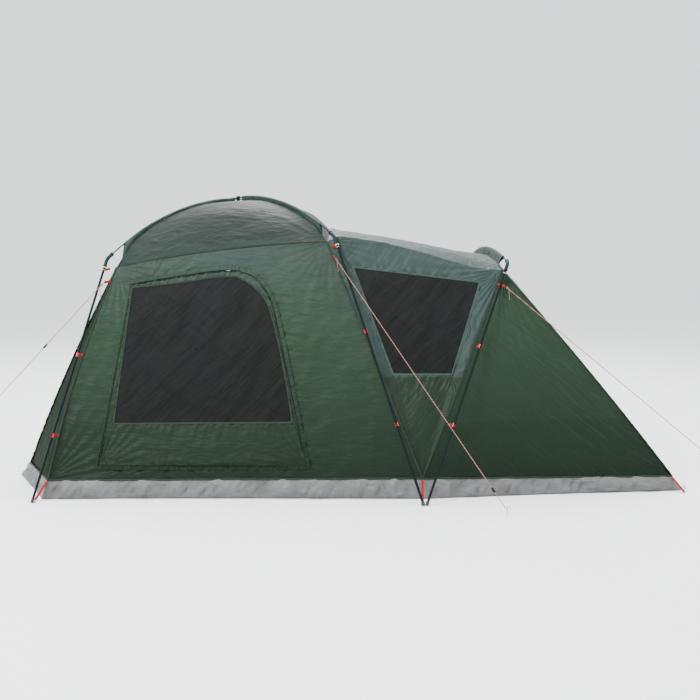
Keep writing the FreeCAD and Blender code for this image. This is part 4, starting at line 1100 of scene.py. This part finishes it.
def room_plane(side):
    """The hoop room's side wall."""
    return Plane(at("band_mid", side), border("eave", side, 9)[1], at("tab_hoop", side),
                 np.array([0, side, 0.0]))


class TENT_OT_hoop_room(bpy.types.Operator):
    """The hoop room: its saddle-shaped roof, side walls and net windows"""

    bl_idname = "tent.hoop_room"
    bl_label = "Hoop room"

    def execute(self, context):
        self.roof()
        count = 80
        for word, side in SIDES:
            plane = room_plane(side)
            flat = loop([(WINDOW[n], WINDOW[(n + 1) % 4]) for n in range(4)], count)
            inner = plane.over_xz(flat[:, 0], flat[:, 1])
            foot = at("band_mid", side)
            low = line(foot - np.array([0.004, 0, 0]), foot + np.array([0.004, 0, 0]), count + 1)
            outer = loop([low, border("hoop_corner", side, count + 1)[::-1],
                          border("eave", side, count + 1)[::-1],
                          border("mid_corner", side, count + 1)], count)
            grid = ring_grid(inner, outer, 40)
            coords = grid[..., (0, 2)]
            folds = [(at("tab_mid")[[0, 2]], 34, 0.40, 0.0045), (at("tab_hoop")[[0, 2]], 44, 0.50, 0.0055),
                     (at("band_mid")[[0, 2]], 22, 0.30, 0.0015), (np.array([0.352, 0.786]), 16, 0.2, 0.003),
                     (np.array([0.738, 0.788]), 16, 0.2, 0.003)]
            bent = ring_relief(grid, coords, plane.normal, 160 + side, inner_pucker=1.4, folds=folds)
            cloth_piece(f"hoop_room_{word}_cloth", bent, finishes()["room"], "tent", f"hoop_room_{word}",
                        coords=coords, closed=True, flip=side == REAR)
            net_piece(f"window_net_{word}", inner, plane.normal, 170 + side, "tent", "window_nets",
                      side == REAR)
            outline_tape(f"window_binding_{word}", inner, plane.normal, 0.014, finishes()["sleeve"], "tent")
        return {"FINISHED"}

    def roof(self):
        """A Coons patch between the dome's seam, the hoop's seam and the two eaves, with a raised ridge."""
        rows, cols = 110, 110
        low, high = border("eave", FRONT, cols), border("eave", REAR, cols)
        left, right = cross_border("room_seam", rows), cross_border("hoop_seam", rows)
        grid = coons(low, high, left, right)
        v = np.linspace(-1, 1, rows)[:, None]
        u = np.linspace(0, 1, cols)[None]
        middle = grid[rows // 2]
        wanted = np.interp(middle[:, 0], (-0.091, 0.5, 0.88, 1.062, 1.085),
                           (1.764, 1.672, 1.599, 1.578, 1.574))
        lift = (wanted - middle[:, 2])[None] * smooth(u / 0.06) * smooth((1 - u) / 0.06)
        grid[..., 2] += lift * (1 - np.abs(v) ** 1.7)
        coords = grid[..., :2]
        folds = [(at("tab_hoop", s)[:2], 40, 0.55, 0.008) for _, s in SIDES]
        folds += [(at("tab_mid", s)[:2], 26, 0.35, 0.005) for _, s in SIDES]
        bent = relieved(grid, coords, UP, 180, folds=folds, angle=0.2, amount=0.7)
        cloth_piece("hoop_room_roof_cloth", bent, finishes()["room"], "tent", "hoop_room_roof", coords=coords)


class TENT_OT_tail(bpy.types.Operator):
    """The tail: two long side walls and the sloping end panel"""

    bl_idname = "tent.tail"
    bl_label = "Tail"

    def execute(self, context):
        for word, side in SIDES:
            rows, cols = 100, 110
            top = np.repeat(at("tab_hoop", side)[None], cols, 0)
            low = line(at("band_mid", side), at("band_tail", side), cols)
            grid = coons(top, low, border("hoop_corner", side, rows), border("tail_corner", side, rows))
            coords = grid[..., (0, 2)]
            folds = [(at("tab_hoop")[[0, 2]], 50, 0.55, 0.0040), (at("band_tail")[[0, 2]], 46, 0.50, 0.0035),
                     (at("band_mid")[[0, 2]], 34, 0.45, 0.0050)]
            bent = relieved(grid, coords, np.array([0, side, 0.2]), 200 + side, folds=folds, angle=-0.95,
                            amount=0.6)
            cloth_piece(f"tail_{word}_cloth", bent, finishes()["tail"], "tent", f"tail_{word}", coords=coords,
                        flip=side == REAR)
        rows, cols = 110, 110
        grid = coons(cross_border("hoop_seam", cols), cross_border("tail_foot", cols),
                     border("tail_corner", FRONT, rows), border("tail_corner", REAR, rows))
        s = np.linspace(0, 1, rows)[:, None]
        v = np.linspace(-1, 1, cols)[None]
        grid[..., 2] += 0.012 * 4 * s * (1 - s) * (1 - v * v)
        coords = grid[..., (1, 2)]
        folds = [(at("band_tail", side)[[1, 2]], 30, 0.5, 0.006) for _, side in SIDES]
        bent = relieved(grid, coords, np.array([1.0, 0, 0.6]), 220, folds=folds, angle=1.5, amount=0.7)
        cloth_piece("tail_panel_cloth", bent, finishes()["wall"], "tent", "tail_panel", coords=coords)
        return {"FINISHED"}


# ---------------------------------------------------------------- ground sheet


CORNERS = (("left", FRONT), ("mid", FRONT), ("tail", FRONT), ("tail", REAR), ("mid", REAR), ("left", REAR),
           ("end", REAR), ("end", FRONT))
EDGES = tuple(zip(CORNERS, CORNERS[1:] + CORNERS[:1]))


class TENT_OT_ground_sheet(bpy.types.Operator):
    """The grey floor and its turned-up band, with a hem where the fly is sewn on"""

    bl_idname = "tent.ground_sheet"
    bl_label = "Ground sheet"

    def execute(self, context):
        bands = {"front": [], "rear": [], "ends": []}
        hems = []
        for n, (one, other) in enumerate(EDGES):
            across = one[0] in ("tail", "end") and other[0] in ("tail", "end")
            group = "ends" if across else ("front" if one[1] == other[1] == FRONT else "rear")
            bands[group].append(self.band(n, one, other))
            hems.append(self.hem(n, one, other))
        for group, made in bands.items():
            joined_cloth(f"mud_wall_{group}_cloth", made, f"mud_wall_{group}")
        extra(joined("band_hem", hems), "tent")
        self.floor()
        return {"FINISHED"}

    def edge(self, one, other, count):
        """The floor's edge between two corners, drawn in a little between them."""
        a, b = at("floor_" + one[0], one[1]), at("floor_" + other[0], other[1])
        t = np.linspace(0, 1, count)
        inward = np.array([-(b - a)[1], (b - a)[0], 0.0]) / np.linalg.norm(b - a)
        span = np.linalg.norm(b - a)
        pull = (0.016 * np.sin(math.pi * t) ** 0.8 + 0.004 * noise(t * span, t * 0, 0.16, 300)) * span / 2.4
        return a + (b - a) * t[:, None] + inward * (pull * smooth(t * 14) * smooth((1 - t) * 14))[:, None]

    def band(self, n, one, other):
        """The turned-up band: ruled from the floor's edge to the seam, with upright gathers and a slight
        outward bow across it."""
        a, b = at("band_" + one[0], one[1]), at("band_" + other[0], other[1])
        span = np.linalg.norm(b - a)
        cols = max(int(span / 0.010), 40)
        low = self.edge(one, other, cols) + np.array([0, 0, 0.003])
        high = line(a, b, cols)
        v = np.linspace(0, 1, 20)[:, None, None]
        grid = low[None] * (1 - v) + high[None] * v
        out = unit(np.cross(UP, b - a)) * -1
        s = np.linspace(0, span, cols)[None]
        h = v[..., 0]
        mask = smooth(s / 0.05) * smooth((span - s) / 0.05)
        height = 0.022 * noise(s + h * 0.04, h * 0.05, 0.07, 310 + n)
        height = height + 0.012 * noise(s - h * 0.06, h * 0.06, 0.03, 320 + n)
        height += 0.018 * crease(s, h * 0.14, 0.12, 330 + n) + 0.012 * noise(s, h * 0, 0.21, 340 + n)
        height = height * np.sin(math.pi * np.clip(h * 0.92 + 0.04, 0, 1)) * mask
        height += 0.008 * np.sin(math.pi * h) * mask
        bent = grid + out * height[..., None]
        coords = np.stack(np.broadcast_arrays(s, h * 0.13), -1)
        outward = (np.cross(np.gradient(grid, axis=1), np.gradient(grid, axis=0)) * out).sum() > 0
        piece = to_mesh(f"band_{n}", bent, finishes()["ground"], coords=coords, thick=0.0012,
                        flip=not outward)
        return piece, area_of(grid)

    def hem(self, n, one, other):
        """The dark folded seam on top of the band."""
        a, b = at("band_" + one[0], one[1]), at("band_" + other[0], other[1])
        count = max(int(np.linalg.norm(b - a) / 0.015), 30)
        points = line(a, b, count)
        s = np.linspace(0, np.linalg.norm(b - a), count)
        out = unit(np.cross(UP, b - a)) * -1
        points = points + out * 0.003 + UP * (0.002 * noise(s, s * 0, 0.05, 350 + n))[:, None]
        normals = unit(np.broadcast_to(out + np.array([0, 0, 0.25]), points.shape))
        return band_strip(f"hem_{n}", points, normals, 0.013, finishes()["binding"], 0.003)

    def floor(self):
        """The flat floor: a fan from the middle out to its edges, with shallow creases."""
        outline = np.concatenate([self.edge(one, other, 60)[:-1] for one, other in EDGES])
        grid = fan_grid(outline, 40)
        edge = np.linalg.norm(grid - grid[-1:], axis=-1)
        grid[..., 2] = 0.0012 + 0.004 * crease(grid[..., 0], grid[..., 1], 0.5, 360) * smooth(edge / 0.2)
        cloth_piece("floor_cloth", grid, finishes()["ground"], "tent", "floor_sheet",
                    coords=grid[..., :2], closed=True, thick=0.0012)


# ---------------------------------------------------------------- sleeves and seams


class TENT_OT_sleeves(bpy.types.Operator):
    """The cloth tubes that hold the poles, each with the web that hangs the roof from it"""

    bl_idname = "tent.sleeves"
    bl_label = "Pole sleeves"

    def execute(self, context):
        rows = (("roof_sleeve_cloth", "roof_sleeves", ("left", "mid"), 0.047, 0.865, 4.4),
                ("hoop_sleeve_cloth", "hoop_sleeve", ("hoop",), 0.0, 0.83, 2.0))
        for name, node, poles, first, last, run in rows:
            made = [self.sleeve(which, side, first, last) for which in poles for _, side in SIDES]
            joined_cloth(name, made, node)
        return {"FINISHED"}

    def sleeve(self, which, side, first, last):
        """A closed drop-shaped section carried along the pole: round over the pole, narrowing to a web that
        ends on the roof cloth, with gathers along it."""
        shares = np.linspace(first, last, 150)
        pole = pole_arc(which, side, shares, pole_level(which, side))
        if which == "hoop":
            seam = cross_border("hoop_seam", 201)[100:]
            base = np.stack([np.interp(np.abs(pole[:, 1]), seam[:, 1], seam[:, k]) for k in range(3)], 1)
            base[:, 1] = pole[:, 1]
        else:
            base = ridge(which, side, shares / 0.9)
        heading = unit(np.gradient(pole, axis=0))
        down = unit(base - pole)
        across = unit(np.cross(heading, down))
        depth = np.linalg.norm(base - pole, axis=1)
        r = shape().sleeve_radius
        turn = np.linspace(math.pi, 0, 12)
        over = [(r * math.cos(t), -r * math.sin(t)) for t in turn]
        web = [(r * (1 - smooth(k)) * 0.9 + 0.0016, k) for k in np.linspace(0, 1, 9)[1:]]
        s = steps_along(pole)
        seed = {"left": 400, "mid": 410, "hoop": 420}[which] + side
        ripple = 0.0030 * noise(s, s * 0, 0.030, seed) + 0.0020 * noise(s, s * 0, 0.013, seed + 1)
        lean = 0.004 * noise(s, s * 0, 0.12, seed + 2)
        cols = [pole + across * k_across + down * k_down for k_across, k_down in over]
        for width, share in web + [(-width, share) for width, share in web[-2::-1]]:
            sway = (ripple + lean) * math.sin(math.pi * share)
            cols.append(pole + across * (width + sway)[:, None] + down * (depth * share)[:, None])
        grid = np.stack(cols, 1)
        shift = np.arange(grid.shape[1])[None] * 0.008
        coords = np.stack(np.broadcast_arrays(s[:, None], shift), -1)
        piece = to_mesh(f"sleeve_{which}_{side}", grid, finishes()["sleeve"], coords=coords, closed=True,
                        thick=0.0006)
        return piece, area_of(grid)


class TENT_OT_seams(bpy.types.Operator):
    """Folded seam tapes where the cloth panels are sewn together"""

    bl_idname = "tent.seams"
    bl_label = "Seams"

    def execute(self, context):
        made = []
        for _, side in SIDES:
            tapes = (("end_corner", (-0.75, side, 0.2), 0.012), ("gusset", (-1, 0.2 * side, 0.3), 0.014),
                     ("mid_corner", (0, side, 0), 0.012), ("hoop_corner", (0, side, 0), 0.012),
                     ("tail_corner", (0.7, 0.6 * side, 0.6), 0.013))
            for name, normal, width in tapes:
                points = border(name, side, 150)
                normals = unit(np.broadcast_to(np.array(normal, float), points.shape))
                s = np.linspace(0, 1, 150) * 2
                points = points + normals * (0.0022 + 0.0010 * noise(s, s * 0, 0.02, 500))[:, None]
                made.append(band_strip(f"seam_{name}_{side}", points, normals, width, finishes()["binding"],
                                       0.002))
        for name, normal in (("end_top", (-0.6, 0, 0.8)), ("room_seam", UP), ("hoop_seam", UP)):
            points = cross_border(name, 150) + np.array(normal) * 0.0025
            normals = unit(np.broadcast_to(np.array(normal, float), points.shape))
            made.append(band_strip(f"seam_{name}", points, normals, 0.012, finishes()["binding"], 0.002))
        extra(joined("panel_seams", made), "tent")
        return {"FINISHED"}


# ---------------------------------------------------------------- webbing, clips and cords


def box_islands(node):
    """The separate solids of a CAD node as arrays of points, told apart by shared vertices."""
    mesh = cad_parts[node].data
    points = np.empty(len(mesh.vertices) * 3, np.float32)
    mesh.vertices.foreach_get("co", points)
    points = points.reshape(-1, 3).astype(float)
    key = np.unique(np.round(points, 5), axis=0, return_inverse=True)[1].ravel()
    parent = np.arange(key.max() + 1)

    def root(i):
        """The island a vertex belongs to."""
        while parent[i] != i:
            parent[i] = parent[parent[i]]
            i = parent[i]
        return i

    for poly in mesh.polygons:
        first = root(key[poly.vertices[0]])
        for v in poly.vertices[1:]:
            parent[root(key[v])] = first
    roots = np.array([root(k) for k in key])
    return [points[roots == r] for r in np.unique(roots)]


def webbing_piece(name, node, seed, share=1.0):
    """Woven straps in place of a node's plain ones: each runs along its solid's longest axis, found from the
    principal directions of its corners, with a slight twist and doubled ends. The share of each strap that is
    drawn is the part by the leg: the rest of it is sewn in under the cloth."""
    made = []
    for n, points in enumerate(box_islands(node)):
        middle = points.mean(0)
        corners = np.unique(np.round(points - middle, 5), axis=0)
        _, _, axes = np.linalg.svd(corners, full_matrices=False)
        spans = np.ptp(corners @ axes.T, axis=0)
        order = np.argsort(-spans)
        long_axis, normal = axes[order[0]], axes[order[2]]
        long_axis = long_axis * (-1 if long_axis[1] * middle[1] < 0 else 1)
        span, width = spans[order[0]] * share, min(spans[order[1]], 0.016)
        middle = middle + long_axis * (spans[order[0]] - span) / 2
        t = np.linspace(-0.5, 0.5, 40)[:, None]
        path_points = middle + long_axis * span * t
        twist = 0.10 * math.sin(seed + n) * np.sin(math.pi * (t + 0.5))
        side_axis = np.cross(long_axis, normal)
        normals = unit(normal + side_axis * twist)
        made.append(band_strip(f"{name}_{n}", path_points, normals, width, finishes()["webbing"], 0.0018))
        for end in (-0.5, 0.5):
            back = np.linspace(0, min(0.022, span / 3), 12)[:, None]
            fold = middle + long_axis * (span * end * 0.99 - np.sign(end) * back)
            made.append(band_strip(f"{name}_{n}_fold", fold + normal * 0.0018,
                                   np.broadcast_to(normal, fold.shape), width * 0.97, finishes()["webbing"],
                                   0.0016))
    piece = joined(name, made)
    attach(piece, "tent")
    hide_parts(node)


class TENT_OT_webbing(bpy.types.Operator):
    """Red webbing at the elbows, clips, corners and guy points"""

    bl_idname = "tent.webbing"
    bl_label = "Webbing"

    def execute(self, context):
        webbing_piece("elbow_and_clip_webbing", "red_webbing", 1, 0.72)
        webbing_piece("corner_webbing", "corner_straps", 2)
        webbing_piece("guy_loops", "guy_tabs", 3)
        return {"FINISHED"}


GUYS = {
    "left": ((-1.560, -1.192, 1.385), (-2.680, -1.950, 0.034)),
    "mid": ((-0.030, -1.192, 1.551), (1.020, -1.950, 0.034)),
    "hoop": ((1.087, -1.268, 1.362), (2.630, -1.950, 0.034)),
}


class TENT_OT_guys(bpy.types.Operator):
    """The three tight guy lines, their knots and loose ends"""

    bl_idname = "tent.guys"
    bl_label = "Guy lines"

    def execute(self, context):
        for which, (start, stop) in GUYS.items():
            a, b = np.array(start), np.array(stop)
            end = b - unit((b - a) * np.array([1, 1, 0])) * 0.0061
            run = unit(end - a)
            begin = a + run * 0.006
            knot = self.knot(which, a, run)
            curve = bpy.data.curves.new(f"guy_{which}", "CURVE")
            curve.dimensions = "3D"
            curve.bevel_depth = 0.0025
            curve.bevel_resolution = 3
            spline = curve.splines.new("NURBS")
            route = [begin, begin + (end - begin) * 0.02, begin + (end - begin) * 0.98, end]
            spline.points.add(len(route) - 1)
            for point, spot in zip(spline.points, route):
                point.co = (*spot, 1)
            spline.order_u = 3
            spline.use_endpoint_u = True
            curve.materials.append(finishes()["cord"])
            cord = bpy.data.objects.new(f"guy_{which}_cord", curve)
            bpy.context.scene.collection.objects.link(cord)
            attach(cord, "tent")
            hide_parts(f"guy_line_{which}")
        return {"FINISHED"}

    def knot(self, which, a, run):
        """A knot at the loop: a coil of two turns round the line, and a short hanging end."""
        t = np.linspace(0, 1, 90)[:, None]
        level = unit(np.cross(run, UP))
        lift = np.cross(level, run)
        turn = t * 4.4 * math.pi
        coil = a + run * (0.010 + 0.020 * t) + 0.0052 * (np.cos(turn) * level + np.sin(turn) * lift)
        tail_t = np.linspace(0, 1, 30)[:, None]
        tail = coil[-1] + np.array([0.002, -0.004, 0]) * tail_t + np.array([0, 0, -0.075]) * tail_t ** 1.1
        tail = tail + 0.004 * np.sin(tail_t * 5) * level
        pieces = [tube(f"knot_{which}_turns", coil, 0.0024, finishes()["cord"], up=(0.31, 0.2, 0.9)),
                  tube(f"knot_{which}_end", tail, 0.0022, finishes()["cord"], up=(0.9, 0.3, 0.1))]
        piece = joined(f"guy_{which}_knot", pieces)
        extra(piece, "tent")
        return piece


CAD_FINISH = {
    "roof_pole_lower": "rod", "roof_pole_upper": "rod", "hoop_pole": "rod", "pole_ferrules": "steel",
    "elbow_hooks": "steel", "strap_rings": "steel", "roof_ring": "steel", "hub_cross": "elbow",
    "dome_elbows": "elbow", "hoop_elbows": "elbow", "leg_caps": "rubber", "marker_rings": "yellow",
    "leg_clips": "red", "front_zip_slider": "zip", "rear_zip_slider": "zip", "end_zip_slider": "zip",
    "adjuster_left": "zip", "adjuster_mid": "zip", "adjuster_hoop": "zip", "tail_pegs": "steel",
    "guy_pegs": "steel",
}


class TENT_OT_hardware(bpy.types.Operator):
    """Finishes on the frame's own poles, legs, elbows, clips, rings and pegs"""

    bl_idname = "tent.hardware"
    bl_label = "Hardware"

    def execute(self, context):
        for name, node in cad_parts.items():
            finish = CAD_FINISH.get(name) or ("pole" if name.startswith("leg_") else None)
            if finish is None:
                continue
            node.data.materials.clear()
            node.data.materials.append(finishes()[finish])
        return {"FINISHED"}


CAMERA_SPOT = (0.07, -8.55, 1.55)
CAMERA_LENS = 1110 / 700 * 36
CAMERA_PITCH = math.atan(92.5 / 1110)


class TENT_OT_stage(bpy.types.Operator):
    """A pale floor that curves up behind the tent, soft studio lights and the camera"""

    bl_idname = "tent.stage"
    bl_label = "Stage"

    def execute(self, context):
        t = np.linspace(0, 1, 60)[:, None]
        x = np.linspace(-40, 40, 12)[None]
        y = np.where(t < 0.6, -30 + 60 * t / 0.6, 30 + 14 * np.sin((t - 0.6) / 0.4 * math.pi / 2))
        z = np.where(t < 0.6, 0, 14 * (1 - np.cos((t - 0.6) / 0.4 * math.pi / 2)))
        grid = np.stack(np.broadcast_arrays(x, y, z - 0.0005), -1)
        floor = to_mesh("stage_floor", grid, finishes()["pale"], coords=grid[..., :2])
        self.light("sky_panel", (0.0, 1.0, 9.0), (0, 0, 0.5), 9.0, 1500, (0.97, 0.99, 1.0))
        self.light("front_panel", (-6.0, -8.0, 7.5), (0, 0, 0.8), 3.6, 1800, (1.0, 1.0, 0.98))
        self.light("side_panel", (8.0, -3.0, 5.0), (0.5, 0, 0.8), 4.0, 320, (1.0, 1.0, 1.0))
        self.light("back_panel", (-0.8, 8.0, 7.6), (-0.8, 0, 1.9), 3.5, 330, (0.98, 1.0, 1.0))
        world = bpy.data.worlds.new("soft_world")
        world.use_nodes = True
        world.node_tree.nodes["Background"].inputs["Color"].default_value = (0.98, 1.0, 0.99, 1)
        world.node_tree.nodes["Background"].inputs["Strength"].default_value = 1.8
        context.scene.world = world
        data = bpy.data.cameras.new("camera")
        data.lens = CAMERA_LENS
        data.clip_end = 200
        camera = bpy.data.objects.new("camera", data)
        context.scene.collection.objects.link(camera)
        camera.location = CAMERA_SPOT
        camera.rotation_euler = (math.radians(90) - CAMERA_PITCH, 0, 0)
        context.scene.camera = camera
        return {"FINISHED"}

    def light(self, name, spot, target, size, watts, color):
        """A square area light that faces a point."""
        data = bpy.data.lights.new(name, "AREA")
        data.size = size
        data.energy = watts
        data.color = color
        lamp = bpy.data.objects.new(name, data)
        bpy.context.scene.collection.objects.link(lamp)
        spot, target = np.array(spot, float), np.array(target, float)
        away = spot - target
        lamp.location = spot
        lamp.rotation_euler = (math.atan2(np.hypot(away[0], away[1]), away[2]), 0,
                               math.atan2(away[0], -away[1]))


OPERATORS = (TENT_OT_stage, TENT_OT_guys, TENT_OT_hardware, TENT_OT_sleeves, TENT_OT_roof, TENT_OT_side_walls,
             TENT_OT_doors, TENT_OT_end, TENT_OT_hoop_room, TENT_OT_tail, TENT_OT_ground_sheet, TENT_OT_seams,
             TENT_OT_webbing)


class TENT_PT_panel(bpy.types.Panel):
    """Lists the steps that build the tent's looks"""

    bl_idname = "TENT_PT_panel"
    bl_label = "Tent"
    bl_space_type = "VIEW_3D"
    bl_region_type = "UI"
    bl_category = "Tent"

    def draw(self, context):
        for step in OPERATORS:
            self.layout.operator(step.bl_idname)
        for group in (context.scene.tent_shape, context.scene.tent_looks):
            for name in group.bl_rna.properties.keys():
                if name not in ("rna_type", "name"):
                    self.layout.prop(group, name)


CLASSES = (TentShape, TentLooks, *OPERATORS, TENT_PT_panel)


def register():
    """Register the classes and hang the settings on the scene."""
    for item in CLASSES:
        bpy.utils.register_class(item)
    bpy.types.Scene.tent_shape = bpy.props.PointerProperty(type=TentShape)
    bpy.types.Scene.tent_looks = bpy.props.PointerProperty(type=TentLooks)


def unregister():
    """Take the settings and classes away again."""
    del bpy.types.Scene.tent_looks
    del bpy.types.Scene.tent_shape
    for item in reversed(CLASSES):
        bpy.utils.unregister_class(item)


def main():
    """Register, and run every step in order."""
    register()
    for step in OPERATORS:
        group, name = step.bl_idname.split(".")
        getattr(getattr(bpy.ops, group), name)()


if __name__ == "__main__":
    main()
